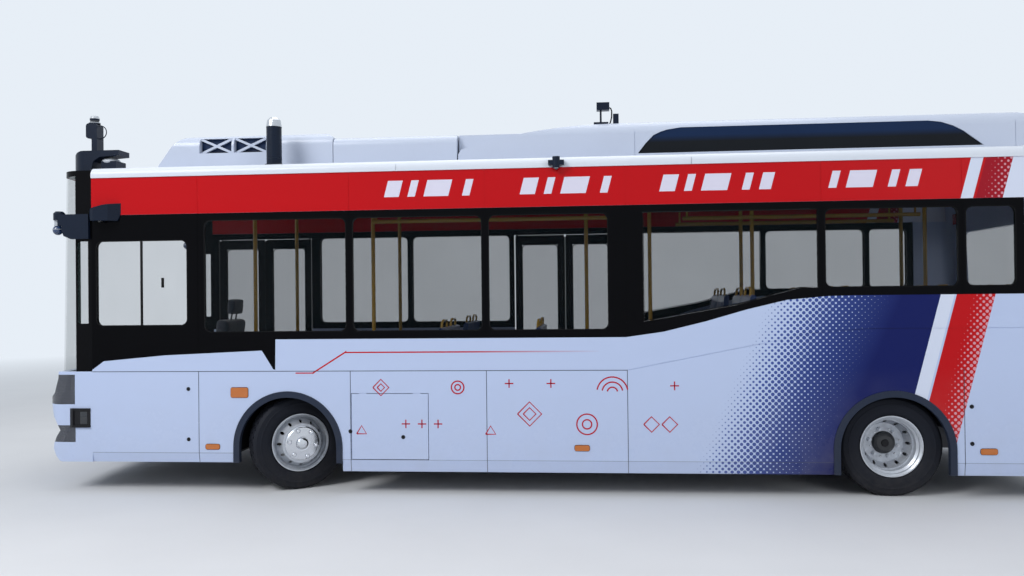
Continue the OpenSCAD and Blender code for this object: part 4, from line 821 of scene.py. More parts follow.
    def screen_surround(self) -> bpy.types.Material:
        """Black frame of the windscreen, with the band's red on its header.

        Returns:
            A material for the windscreen's frame.
        """
        g = Graph("screen_surround")
        cloud = g.noise(4.0, 3.0)
        header = g.axis(2).within(2.285, 2.60, 0.003) * (g.axis(0) - NOSE_X).below(0.235, 0.004)
        black = g.mix(cloud, (0.0016, 0.0016, 0.0022), (0.0030, 0.0030, 0.0040))
        red = g.mix(cloud, (0.50, 0.003, 0.006), (0.58, 0.004, 0.008))
        g.set(Base_Color=g.mix(header, black, red), Roughness=(0.14 + cloud * 0.08), Specular_IOR_Level=0.08)
        return g.material

    def door_leaf(self) -> bpy.types.Material:
        """Black door frames round clear panes.

        Returns:
            A material for the four door leaves.
        """
        g = Graph("door_leaf")
        x, z = g.axis(0) - NOSE_X, g.axis(2)
        cloud = g.noise(3.0, 3.0)
        panes = [x.within(low, high, 0.0005) for low, high in
                 ((0.642, 1.002), (1.158, 1.518), (3.872, 4.247), (4.403, 4.778))]
        clear = (panes[0] + panes[1] + panes[2] + panes[3]) * z.within(0.442, 2.108, 0.0005)
        g.set(Base_Color=g.mix(cloud, (0.0020, 0.0020, 0.0026), (0.0040, 0.0042, 0.0055)),
              Roughness=(0.12 + cloud * 0.08), Specular_IOR_Level=0.10, Alpha=(clear * -0.72 + 1.0))
        return g.material

    def insert_panels(self) -> bpy.types.Material:
        """Dark panels of the roof covers, navy above and black below.

        Returns:
            A material for the inserts.
        """
        g = Graph("insert_panels")
        cloud, fine = g.noise(2.2, 4.0), g.noise(300.0, 3.0)
        navy = g.mix(cloud, (0.004, 0.014, 0.046), (0.007, 0.022, 0.066))
        black = g.mix(cloud, (0.003, 0.004, 0.006), (0.006, 0.008, 0.011))
        g.set(Base_Color=g.mix(g.axis(2).above(2.842, 0.05), black, navy), Specular_IOR_Level=0.15,
              Roughness=(0.34 + fine * 0.12 + cloud * 0.1).clamp(), Normal=g.bump(fine, 0.0002, 0.4))
        return g.material

    def build(self) -> None:
        """Makes them all."""
        plain = (
            Finish("black_enamel", (0.0022, 0.0022, 0.0030), 0.14, spread=0.3, shine=0.05),
            Finish("sensor_black", (0.006, 0.006, 0.008), 0.34, grain_depth=0.0003, grain=700.0, shine=0.25),
            Finish("housing_black", (0.006, 0.006, 0.007), 0.85, grain_depth=0.0005, grain=500.0, shine=0.2),
            Finish("chassis_paint", (0.030, 0.031, 0.034), 0.55, grain_depth=0.0004, grain=300.0, dirt=0.8),
            # trim_plastic: dark trim plastic whose blue tint is a painted reflection of the sky.
            Finish("trim_plastic", (0.012, 0.020, 0.042), 0.42, grain_depth=0.0003, grain=900.0, dirt=0.10, shine=0.22),
            # roof_paint: the white roof paint with painted shade, greyer and bluer than the paint itself.
            Finish("roof_paint", (0.50, 0.55, 0.66), 0.24, spread=0.06, shine=0.3),
            Finish("navy_gloss", (0.004, 0.009, 0.022), 0.30, spread=0.25, shine=0.20),
            Finish("inner_plastic", (0.055, 0.058, 0.066), 0.55, grain_depth=0.0005, grain=1100.0),
            Finish("pale_lining", (0.20, 0.21, 0.24), 0.5, grain_depth=0.0003, grain=900.0, spread=0.05),
            Finish("rail_yellow", (0.46, 0.27, 0.03), 0.22, coat=0.3, spread=0.08),
            Finish("cast_iron", (0.060, 0.062, 0.066), 0.62, metal=0.45, grain_depth=0.0009, grain=260.0, dirt=0.8),
            Finish("alloy_case", (0.24, 0.25, 0.27), 0.45, metal=0.7, grain_depth=0.0004, grain=420.0, dirt=0.5),
            Finish("chrome", (0.78, 0.80, 0.84), 0.07, metal=1.0, spread=0.04),
            Finish("brushed_steel", (0.55, 0.57, 0.60), 0.28, metal=0.9, spread=0.10, grain=500.0, grain_depth=0.0001),
            Finish("seal_rubber", (0.0035, 0.0035, 0.0040), 0.60, grain=800.0, grain_depth=0.0003, shine=0.12),
            Finish("bellows_rubber", (0.016, 0.016, 0.018), 0.64, grain=500.0, grain_depth=0.0005, dirt=0.6),
            Finish("seat_shell", (0.020, 0.045, 0.16), 0.34, coat=0.2, grain=900.0, grain_depth=0.0003),
            Finish("white_vinyl", (0.66, 0.64, 0.76), 0.24, spread=0.03, shine=0.25),
            Finish("red_vinyl", (0.42, 0.010, 0.030), 0.24, spread=0.08, shine=0.2),
            Finish("grey_cap", (0.42, 0.45, 0.49), 0.35, spread=0.08),
            Finish("blank_plate", (0.62, 0.64, 0.66), 0.3, coat=0.2, spread=0.04),
        )
        for finish in plain:
            self.made[finish.name] = finish.make()
        for pane in (Pane("side_glass", (0.003, 0.006, 0.008), 0.26, clear_before=1.34, clear_alpha=0.07, shine=0.10),
                     Pane("front_glass", (0.03, 0.06, 0.06), 0.12, shine=0.25)):
            self.made[pane.name] = pane.make()
        self.made["livery"] = Livery().make()
        for side, word in SIDES:
            axis = Matrix.Rotation(STEER, 3, "Z") @ Vector((0, side, 0))
            for name, centre, way, hub, bright in (
                    (f"front_{word}", spot(FRONT_AXLE, side * KINGPIN_Y, AXLE_HEIGHT), axis, 0.1405, True),
                    (f"rear_{word}", spot(REAR_AXLE, side, AXLE_HEIGHT), Vector((0, side, 0)), 0.089, False)):
                self.made[f"{name}_wheel_paint"] = self.wheel_paint(f"{name}_wheel_enamel", centre, way, hub, bright)
        for name, tint, pitch, alpha, across in (
                ("amber_lens", (0.55, 0.150, 0.015), 0.006, 0.92, 0),
                ("red_lens", (0.55, 0.008, 0.012), 0.008, 0.90, 2),
                ("clear_lens", (0.045, 0.050, 0.068), 0.012, 0.80, 2),
                ("blue_lens", (0.020, 0.045, 0.120), 0.030, 0.96, 2)):
            self.made[name] = self.lens(name, tint, pitch, alpha, across)
        self.made.update({
            "rubber": self.rubber(), "insert_panels": self.insert_panels(), "screen_surround": self.screen_surround(),
            "door_leaf": self.door_leaf(), "cloth": self.cloth(), "plush": self.plush(),
            "floor_cover": self.floor_cover()})
        glow = Graph("lit_diffuser")
        glow.set(Base_Color=glow.mix(glow.noise(20.0), (0.80, 0.84, 0.88), (0.90, 0.92, 0.94)), Roughness=0.4,
                 Emission_Color=(0.85, 0.92, 1.0), Emission_Strength=0.6)
        self.made["diffuser"] = glow.material
        screen = Graph("dark_screen")
        screen.set(Base_Color=screen.mix(screen.noise(5.0), (0.004, 0.006, 0.010), (0.010, 0.014, 0.022)),
                   Roughness=0.08, Coat_Weight=0.6)
        self.made["screen"] = screen.material

    def dress_frame(self) -> None:
        """Gives every CAD node its finish."""
        table = {
            "livery": "left_side_wall right_side_wall left_cantrail right_cantrail front_mask rear_panel rear_upper "
                      "service_flap rear_hatch",
            "black_enamel": "left_window_frame right_window_frame",
            "door_leaf": "front_door_leaf_a front_door_leaf_b mid_door_leaf_a mid_door_leaf_b",
            "screen_surround": "windscreen_frame", "side_glass": "left_glazing right_glazing rear_window",
            "front_glass": "windscreen", "roof_paint": "roof_panel front_cover low_cover main_cover",
            "navy_gloss": "sensor_deck roof_sensors camera_pods", "insert_panels": "cover_inserts",
            "trim_plastic": "arch_trims", "housing_black": "wheel_housings", "sensor_black": "corner_sensors",
            "chassis_paint": "underframe front_axle rear_axle", "floor_cover": "floor_deck",
            "cast_iron": "left_knuckle right_knuckle track_rod", "alloy_case": "drive_motor battery_block",
            "bellows_rubber": "suspension", "inner_plastic": "dashboard driver_seat", "seat_shell": "passenger_seats",
            "rail_yellow": "handrails", "seal_rubber": "wipers", "amber_lens": "side_markers", "red_lens": "tail_lamps",
            "clear_lens": "front_lamps", "front_left_wheel_paint": "front_left_rim",
            "front_right_wheel_paint": "front_right_rim", "rear_left_wheel_paint": "rear_left_rims",
            "rear_right_wheel_paint": "rear_right_rims",
            "rubber": "front_left_tyre front_right_tyre rear_left_tyres rear_right_tyres",
        }
        for finish, names in table.items():
            dress(self.made[finish], *names.split())


@dataclass
class Part:
    """A group of added pieces."""

    finishes: Finishes

    def add(self, shape: Shape, name: str, finish: str, slot: str, body: str = "bus_body",
            smooth: float = 35.0) -> bpy.types.Object:
        """Ends a shape as a piece with one of the finishes; see Shape.piece."""
        return shape.piece(name, self.finishes[finish], body, smooth)


@dataclass
class Wheels(Part):
    """Treaded tyres in place of the plain CAD ones, nut caps, valves and hub fittings."""

    radius: float = 0.3835
    width: float = 0.215
    rim: float = 0.22225
    track_front: float = 0.992
    track_rear: float = 1.039
    twin_pitch: float = 0.245
    steps: int = 160
    groove: float = 0.011

    def profile(self) -> list[tuple[float, float]]:
        """The tyre's section: bead, side wall with rings, shoulder and grooved tread.

        Returns:
            (radius, along the axis) points round the whole section.
        """
        half, tread = self.width / 2, 0.0735
        bead = ((0.0008, 0.0845), (0.0135, 0.0845), (0.017, 0.0880))
        bulge = ((0.024, 0.009), (0.034, 0.0055), (0.036, 0.0035), (0.041, 0.0030), (0.044, 0.0022), (0.062, 0.0),
                 (0.080, 0.0006), (0.096, 0.0020), (0.100, 0.0010), (0.104, 0.0012), (0.107, 0.0038), (0.122, 0.0060),
                 (0.1355, 0.0088), (0.1372, 0.0080), (0.1395, 0.0100))
        wall = [(self.rim + r, a) for r, a in bead] + [(self.rim + r, half - a) for r, a in bulge]
        wall += [(self.radius - 0.008, half - 0.0200), (self.radius - 0.002, half - 0.0290)]
        top = [(self.radius, tread)]
        for centre in (0.051, 0.018):
            top += [(self.radius, centre + 0.0048), (self.radius - self.groove, centre + 0.0034),
                    (self.radius - self.groove, centre - 0.0034), (self.radius, centre - 0.0048)]
        upper = wall + top
        return upper + [(r, -a) for r, a in reversed(upper)]

    def tyre(self, shape: Shape, centre: Vector, axis: Vector) -> None:
        """Adds one tyre with slots across its shoulders.

        Args:
            shape: where it is added.
            centre: the wheel's centre.
            axis: the wheel's axis.
        """
        before = set(shape.bm.faces)
        shape.spin(self.profile(), centre, axis, self.steps)
        pockets = []
        side = axis.normalized()
        for face in set(shape.bm.faces) - before:
            out = face.calc_center_median() - centre
            along = out.dot(side)
            radial = out - side * along
            off = abs(along)
            below = self.radius - radial.length
            if below > 0.0045 or 0.046 < off < 0.056 or (below > 0.0015 and off < 0.07):
                continue
            flat = Vector((side.y, -side.x, 0.0)).normalized()
            angle = math.atan2(radial.z, radial.dot(flat)) % math.tau
            index = int(angle / math.tau * self.steps)
            shoulder = off > 0.0555 and index % 4 == 0
            middle = off < 0.0135 and index % 4 == 2
            between = 0.0222 < off < 0.0465 and index % 8 == 1
            if shoulder or middle or between:
                pockets.append(face)
        out = bmesh.ops.extrude_face_region(shape.bm, geom=pockets)["geom"]
        for vert in (v for v in out if isinstance(v, bmesh.types.BMVert)):
            way = vert.co - centre
            way -= side * way.dot(side)
            vert.co -= way.normalized() * 0.006
        bmesh.ops.delete(shape.bm, geom=[f for f in pockets if f.is_valid], context="FACES_ONLY")

    def front(self, side: int) -> tuple[Vector, Vector]:
        """The centre and the outward axis of a steered wheel."""
        pin = spot(FRONT_AXLE, side * KINGPIN_Y, AXLE_HEIGHT)
        axis = Matrix.Rotation(STEER, 3, "Z") @ Vector((0, side, 0))
        return pin + axis * (self.track_front - KINGPIN_Y), axis

    def build(self) -> None:
        """Makes every tyre and fitting."""
        for side, word in SIDES:
            centre, axis = self.front(side)
            shape = Shape()
            self.tyre(shape, centre, axis)
            made = self.add(shape, f"front_{word}_tread", "rubber", "tyre", f"front_{word}_wheel", 32.0)
            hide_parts(f"front_{word}_tyre")
            self.fittings(centre, axis, word)
            shape = Shape()
            for k in (-1, 1):
                y = side * (self.track_rear - self.twin_pitch / 2) + k * self.twin_pitch / 2
                self.tyre(shape, spot(REAR_AXLE, y, AXLE_HEIGHT), Vector((0, side, 0)))
            made = self.add(shape, f"rear_{word}_treads", "rubber", "tyre", f"rear_{word}_wheels", 32.0)
            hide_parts(f"rear_{word}_tyres")
            self.rear_fittings(spot(REAR_AXLE, side * (self.track_rear - self.twin_pitch / 2), AXLE_HEIGHT),
                               Vector((0, side, 0)), word)

    def fittings(self, centre: Vector, axis: Vector, word: str) -> None:
        """Adds the chrome rings, the nut caps and the valve of a front wheel."""
        flat = Vector((axis.y, -axis.x, 0.0))
        shape = Shape()
        for i in range(6):
            angle = math.radians(60 * i + 10)
            way = flat * math.cos(angle) + UP * math.sin(angle)
            at = centre + way * 0.111125 + axis * 0.155
            shape.rod(at, at + axis * 0.006, 0.0135, 20, 0.0105)
        shape.spin([(0.1305, 0.1475), (0.1395, 0.1450), (0.1405, 0.1390), (0.1350, 0.1380)], centre, axis, 72)
        shape.spin([(0.0465, 0.1560), (0.0500, 0.1560), (0.0495, 0.1600), (0.0462, 0.1602)], centre, axis, 56)
        self.add(shape, f"front_{word}_hub_ring", "chrome", "wheel_steel", f"front_{word}_wheel")
        valve = Shape()
        start = centre + flat * 0.186 + axis * 0.068
        valve.rod(start, start + axis * 0.030 + flat * 0.004, 0.0045, 12)
        valve.rod(start + axis * 0.029 + flat * 0.004, start + axis * 0.042 + flat * 0.006, 0.0058, 12)
        self.add(valve, f"front_{word}_valve", "seal_rubber", "black_rubber", f"front_{word}_wheel")

    def rear_fittings(self, centre: Vector, axis: Vector, word: str) -> None:
        """Adds the nut caps and the hub's oil plug of a twin wheel."""
        shape = Shape()
        flat = Vector((1.0, 0.0, 0.0))
        for i in range(6):
            angle = math.radians(60 * i + 12)
            way = flat * math.cos(angle) + UP * math.sin(angle)
            at = centre + way * 0.111125 + axis * 0.050
            shape.rod(at, at + axis * 0.007, 0.0098, 18, 0.0070)
        self.add(shape, f"rear_{word}_nut_caps", "brushed_steel", "wheel_steel", f"rear_{word}_wheels")
        plug = Shape().rod(centre + axis * 0.058, centre + axis * 0.064, 0.030, 32, 0.026)
        self.add(plug, f"rear_{word}_oil_plug", "sensor_black", "wheel_steel", f"rear_{word}_wheels")


@dataclass
class Windows(Part):
    """Rubber gaskets of the panes and the driver's sliding sash."""

    left: tuple[tuple[float, float, float, float], ...] = (
        (536, 1320, 1358, 2059), (1460, 2646, 1300, 2215), (2696, 3746, 1300, 2215), (3796, 4740, 1300, 2215),
        (6389, 7373, 1610, 2215), (7423, 7790, 1610, 2215))
    right: tuple[tuple[float, float, float, float], ...] = (
        (1690, 2646, 1300, 2215), (2696, 3740, 1300, 2215), (6389, 7373, 1610, 2215), (7423, 7790, 1610, 2215))
    corner: float = 55.0
    least_corner: float = 8.0
    gasket: float = 7.0

    def outline(self, row: tuple[float, float, float, float], inset: float) -> list[tuple[float, float]]:
        """A round-cornered outline in X and Z metres.

        Args:
            row: the pane's first and last station and its lowest and highest height, in millimetres.
            inset: how far inside the pane the line runs, in millimetres.

        Returns:
            The points in order.
        """
        a, b, low, high = row[0] + inset, row[1] - inset, row[2] + inset, row[3] - inset
        r = max(self.corner - inset, self.least_corner)
        return rounded(station(a), station(b), low / 1000, high / 1000, r / 1000)

    def slanted(self, inset: float) -> list[tuple[float, float]]:
        """The outline of the window whose foot follows the rising belt."""
        a, b, top = 5010 + inset, 6339 - inset, 2215 - inset
        points = ((a, 1364 + inset), (5700, 1480 + inset), (6195, 1610 + inset), (b, 1610 + inset), (b, top), (a, top))
        return [(station(x), z / 1000) for x, z in points]

    def build(self) -> None:
        """Makes the gaskets of both sides."""
        for side, rows, word in ((-1, self.left, "left"), (1, self.right, "right")):
            shape = Shape()
            for line in [self.outline(row, self.gasket / 2) for row in rows] + [self.slanted(self.gasket / 2)]:
                shape.strip(line, side * (HALF_WIDTH - 0.0030), self.gasket / 1000, side * 0.0028, closed=True)
            self.add(shape, f"{word}_window_gaskets", "seal_rubber", "black_rubber")
        sash = Shape()
        sash.box((station(919), -HALF_WIDTH + 0.0028, 1.362), (station(941), -HALF_WIDTH - 0.0012, 2.055), 0.0012)
        sash.box((station(1100), -HALF_WIDTH + 0.0028, 1.67), (station(1122), -HALF_WIDTH - 0.006, 1.75), 0.002)
        self.add(sash, "driver_sash", "seal_rubber", "black_rubber")


@dataclass
class SideDetails(Part):
    """Key locks, lamp rims and the generic shapes in place of the printed signs."""

    skin: float = HALF_WIDTH

    def locks(self) -> None:
        """Adds round key locks with a slot on both sides."""
        rows = {-1: ((1321, 840), (1321, 430), (3098, 455), (2668, 500), (7450, 420), (7450, 700)),
                1: ((1500, 455), (2700, 455), (5300, 455), (7450, 420), (7450, 700))}
        for side, word in SIDES:
            shape, slots = Shape(), Shape()
            for x, z in rows[side]:
                at = spot(x, side * self.skin, z / 1000)
                shape.rod(at - Vector((0, side * 0.002, 0)), at + Vector((0, side * 0.0030, 0)), 0.017, 28, 0.0150)
                slots.box(at + Vector((-0.0018, -0.0045, -0.008)), at + Vector((0.0018, 0.0045, 0.008)), 0.0006)
            self.add(shape, f"{word}_locks", "sensor_black", "grey_case")
            self.add(slots, f"{word}_lock_slots", "seal_rubber", "black_rubber")

    def lamp_frames(self) -> None:
        """Adds the dark rims round the side lamps."""
        rows = {-1: ((1752, 811, 143, 81), (1524, 371, 118, 42), (4520, 374, 116, 44), (7570, 361, 122, 44)),
                1: ((1752, 811, 143, 81), (3300, 374, 116, 44), (7570, 361, 122, 44))}
        for side, word in SIDES:
            shape = Shape()
            for x, z, w, h in rows[side]:
                low, high = (z - h / 2) / 1000, (z + h / 2) / 1000
                points = rounded(station(x - w / 2), station(x + w / 2), low, high, 0.014, 5)
                shape.strip(points, side * (self.skin - 0.001), 0.006, side * 0.0035, closed=True)
            self.add(shape, f"{word}_lamp_rims", "seal_rubber", "black_rubber")

    def band_bars(self) -> None:
        """Adds a row of slanted white bars on the red band, where the sign's letters stood."""
        for side, word in SIDES:
            shape = Shape()
            x, index = 2960, 0
            while x < 7000:
                width = (120, 60, 200, 60, 90)[index % 5]
                gap = (70, 70, 110, 70, 240)[index % 5]
                if min(abs(x + width / 2 - j) for j in (3771, 4878, 6364)) > width / 2 + 40:
                    low, high = 2.372, 2.502
                    lean = (high - low) * 0.264 * 1000
                    corners = ((x, low), (x + width, low), (x + width + lean, high), (x + lean, high))
                    shape.slab([(station(a), z) for a, z in corners], side * (self.skin - 0.0005), side * 0.0012)
                x += width + gap
                index += 1
            self.add(shape, f"{word}_band_bars", "white_vinyl", "pale_paint")

    def ring(self, shape: Shape, side: int, x: float, z: float, radius: float, width: float = 0.011,
             start: float = 0.0, sweep: float = 360.0) -> None:
        """Adds a thin arc of vinyl on a side.

        Args:
            shape: where it is added.
            side: −1 for the left, 1 for the right.
            x: station in millimetres.
            z: height in metres.
            radius: in metres.
            width: of the line in metres.
            start: first angle in degrees.
            sweep: how far it goes round in degrees.
        """
        count = max(8, int(sweep / 9))
        turns = [math.radians(start + sweep * k / count) for k in range(count + (sweep < 360))]
        points = [(station(x) + radius * math.cos(t), z + radius * math.sin(t)) for t in turns]
        shape.strip(points, side * (self.skin - 0.0005), width, side * 0.0010, closed=sweep >= 360)

    def line_motifs(self) -> None:
        """Adds generic thin-line motifs: rings, arcs, diamonds, crosses and triangles."""
        for side, word in SIDES:
            shape = Shape()
            wall = [(2700, 5400)] if side < 0 else [(2700, 3700), (4950, 5400)]

            def on_wall(*marks: tuple[float, ...]) -> list[tuple[float, ...]]:
                """Keeps the marks that lie on this side's wall, clear of its doors."""
                return [mark for mark in marks if any(low < mark[0] < high for low, high in wall)]

            for x, z, r in on_wall((3540, 0.850, 0.050), (4560, 0.560, 0.080)):
                self.ring(shape, side, x, z, r)
                self.ring(shape, side, x, z, r * 0.45)
            for x, radius in on_wall((4760, 0.120), (4760, 0.080), (4760, 0.040)):
                self.ring(shape, side, x, 0.810, radius, start=10, sweep=160)
            for x, z, r in on_wall((2920, 850, 65), (2920, 850, 30), (4110, 640, 95), (4110, 640, 50), (5060, 560, 60),
                                   (5200, 560, 60)):
                self.lines(shape, side, [(x - r, z), (x, z + r), (x + r, z), (x, z - r), (x - r, z)])
            for x, z in on_wall((3120, 560), (3250, 560), (3380, 560), (3950, 880), (4280, 880), (5240, 860)):
                self.lines(shape, side, [(x - 34, z), (x + 34, z)])
                self.lines(shape, side, [(x, z - 34), (x, z + 34)])
            for (x,) in on_wall((2760,), (3800,)):
                self.lines(shape, side, [(x - 40, 480), (x, 545), (x + 40, 480), (x - 40, 480)])
            self.add(shape, f"{word}_line_motifs", "red_vinyl", "red_paint")

    def lines(self, shape: Shape, side: int, points: Sequence[tuple[float, float]]) -> None:
        """Adds an open vinyl line through (station, height) points in millimetres."""
        shape.strip([(station(x), z / 1000) for x, z in points], side * (self.skin - 0.0005), 0.010, side * 0.0010)

    def build(self) -> None:
        """Makes them all."""
        self.locks()
        self.lamp_frames()
        self.band_bars()
        self.line_motifs()


@dataclass
class Nose(Part):
    """Headlamp and fog-lamp insides, bumper grille, plate holder, sensor windows and wiper rubbers."""

    def lamps(self) -> None:
        """Adds reflector bowls and light strips behind the lamp glasses."""
        bowls, strips, covers = Shape(), Shape(), Shape()
        for side in (-1, 1):
            for x, y, z, r in ((168, 0.86, 0.82, 0.052), (186, 1.00, 0.82, 0.052)):
                at = spot(x, side * y, z)
                bowls.spin([(0.004, 0.050), (r * 0.6, 0.046), (r, 0.006), (r + 0.006, 0.0), (r + 0.004, 0.010),
                            (r * 0.66, 0.054), (0.004, 0.058)], at, (1, 0, 0), 40)
                covers.dome(at + Vector((0.022, 0, 0)), (0.014, r * 0.5, r * 0.5))
            strips.box((station(252), side * 1.10 - 0.012, 0.735), (station(262), side * 1.10 + 0.012, 0.930), 0.004)
            strips.box((station(196), side * 0.93 - 0.07, 0.418), (station(206), side * 0.93 + 0.07, 0.430), 0.003)
        self.add(bowls, "headlamp_bowls", "chrome", "lamp_glass")
        self.add(strips, "daylight_strips", "diffuser", "lamp_glass")
        self.add(covers, "headlamp_projectors", "clear_lens", "lamp_glass")

    def grille(self) -> None:
        """Adds the slatted grille in the mask's opening and the plate holder above it."""
        shape = Shape()
        for k in range(4):
            z = 0.313 + k * 0.016
            shape.box((station(66), -0.255, z), (station(96), 0.255, z + 0.005), 0.0015,
                      turn=turned(18))
        for y in (-0.17, 0.0, 0.17):
            shape.box((station(80), y - 0.004, 0.306), (station(90), y + 0.004, 0.370), 0.001)
        self.add(shape, "bumper_grille", "seal_rubber", "dark_plastic")
        plate = Shape()
        plate.box((station(66), -0.265, 0.424), (station(76), 0.265, 0.549), 0.004, turn=turned(6))
        for y in (-0.19, 0.19):
            plate.box((station(72), y - 0.020, 0.462), (station(130), y + 0.020, 0.512), 0.003)
        self.add(plate, "front_plate_holder", "inner_plastic", "dark_plastic")

    def wipers(self) -> None:
        """Adds the rubber blades and springs on the wiper arms."""
        for side, word in SIDES:
            shape = Shape()
            turn = turned(side * 70, "X", 3)
            base = spot(98, side * 0.520, 0.962)
            start, end = base + turn @ Vector((0, 0, 0.07)), base + turn @ Vector((0, 0, 0.51))
            shape.rod(start, end, 0.0042, 10)
            for k in range(5):
                at = start.lerp(end, 0.1 + 0.2 * k)
                shape.box(at - Vector((0.006, 0.010, 0.006)), at + Vector((0.005, 0.010, 0.006)), 0.002)
            self.add(shape, f"{word}_wiper_blade", "seal_rubber", "black_rubber")

    def sensors(self) -> None:
        """Adds glossy windows and bright edges on the corner sensors."""
        glass, ring = Shape(), Shape()
        for side in (-1, 1):
            for z in (0.560, 0.604, 0.648):
                centre = spot(168, side * 1.1200, z)
                out = Vector((-0.819, side * 0.573, 0)).normalized()
                glass.rod(centre - out * 0.002, centre + out * 0.0030, 0.013, 24, 0.0115)
                ring.spin([(0.0130, -0.001), (0.0165, -0.001), (0.0160, 0.0030), (0.0135, 0.0036)], centre, out, 28)
            face = side * 1.2190
            glass.box((station(395), face - 0.001, 0.552), (station(455), face + 0.001, 0.655), 0.0008)
        self.add(glass, "corner_sensor_windows", "screen", "gloss_black")
        self.add(ring, "corner_sensor_rings", "brushed_steel", "cast_metal")

    def build(self) -> None:
        """Makes them all."""
        self.lamps()
        self.grille()
        self.wipers()
        self.sensors()


@dataclass
class Tail(Part):
    """Round lamp units, the blank plate, reflectors and the hatch's handle."""

    back: float = 4.1575

    def build(self) -> None:
        """Makes them all."""
        rings, domes = Shape(), Shape()
        for side in (-1, 1):
            for z in (0.72, 0.82, 0.92, 1.02, 1.12):
                at = Vector((self.back - 0.001, side * 0.930, z))
                rings.spin([(0.036, -0.001), (0.042, -0.001), (0.041, 0.0009), (0.037, 0.0010)], at, (1, 0, 0), 40)
                domes.rod(at - Vector((0.004, 0, 0)), at + Vector((0.0008, 0, 0)), 0.035, 36)
        self.add(rings, "tail_lamp_rings", "chrome", "red_lens")
        self.add(domes, "tail_lamp_units", "red_lens", "red_lens")
        plate, handle = Shape(), Shape()
        plate.box((self.back - 0.010, -0.262, 0.345), (self.back - 0.0010, 0.262, 0.455), 0.003)
        self.add(plate, "rear_plate_blank", "blank_plate", "pale_paint")
        handle.box((self.back - 0.012, -0.075, 0.865), (self.back - 0.0006, 0.075, 0.905), 0.004)
        self.add(handle, "hatch_handle", "inner_plastic", "dark_plastic", "rear_hatch")
        dots = Shape()
        for side in (-1, 1):
            at = Vector((self.back - 0.004, side * 0.70, 0.400))
            dots.rod(at, at + Vector((0.0035, 0, 0)), 0.036, 36, 0.034)
        self.add(dots, "rear_reflectors", "red_lens", "red_lens")


@dataclass
class Doors(Part):
    """Rubber edges and inner grab bars of the four leaves, and the push buttons beside them."""

    face: float = HALF_WIDTH - 0.004
    foot: float = 0.352
    top: float = 2.198
    rail: float = 70.0
    gap: float = 12.0

    def leaf(self, name: str, body: str, low: float, high: float, hinge_low: bool) -> None:
        """Dresses one leaf.

        Args:
            name: the leaf's word in piece names.
            body: the CAD body it belongs to.
            low: the station of its front edge in millimetres.
            high: the station of its back edge.
            hinge_low: whether the hinge is at the front edge.
        """
        seal, bar, edge = Shape(), Shape(), Shape()
        meeting = high if hinge_low else low
        way = -1 if hinge_low else 1
        x = station(meeting) - way * 0.0072
        seal.box((min(x, x + way * 0.020), self.face - 0.0005, self.foot + 0.010),
                 (max(x, x + way * 0.020), self.face + 0.0022, self.top - 0.010), 0.0012)
        for z_a, z_b in ((self.foot - 0.010, self.foot + 0.002), (self.top - 0.002, self.top + 0.010)):
            seal.box((station(low + 2), self.face - 0.006, z_a), (station(high - 2), self.face - 0.002, z_b), 0.0008)
        pane = rounded(station(low + self.rail), station(high - self.rail), self.foot + 0.090, self.top - 0.090, 0.045)
        edge.strip(pane, self.face - 0.001, 0.010, 0.0022, closed=True)
        inner = self.face - 0.036
        at = station(meeting) + way * 0.100
        bar.tube([(at, inner + y, z) for y, z in ((0.006, 0.58), (-0.030, 0.60), (-0.040, 0.65), (-0.040, 1.06),
                                                  (-0.030, 1.11), (0.006, 1.13))], 0.012, 14)
        self.add(seal, f"{name}_meeting_seal", "seal_rubber", "black_rubber", body)
        self.add(edge, f"{name}_pane_gasket", "seal_rubber", "black_rubber", body)
        self.add(bar, f"{name}_grab_bar", "rail_yellow", "yellow_rail", body)

    def build(self) -> None:
        """Dresses all four leaves and adds the push buttons beside them."""
        for word, start, width in (("front_door", 560, 1040), ("mid_door", 3790, 1070)):
            one, low, high = width / 2 - 20, start + self.gap, start + width - self.gap
            self.leaf(f"{word}_a", f"{word}_leaf_a", low, low + one, True)
            self.leaf(f"{word}_b", f"{word}_leaf_b", high - one, high, False)
        button, ring = Shape(), Shape()
        for x in (1650, 4905):
            at = spot(x, HALF_WIDTH - 0.001, 1.28)
            button.rod(at, at + Vector((0, 0.006, 0)), 0.022, 32, 0.020)
            ring.spin([(0.023, 0.0), (0.036, 0.0), (0.034, 0.0045), (0.0245, 0.0045)], at, (0, 1, 0), 40)
        self.add(button, "door_buttons", "amber_lens", "amber_lens")
        self.add(ring, "door_button_rings", "brushed_steel", "cast_metal")


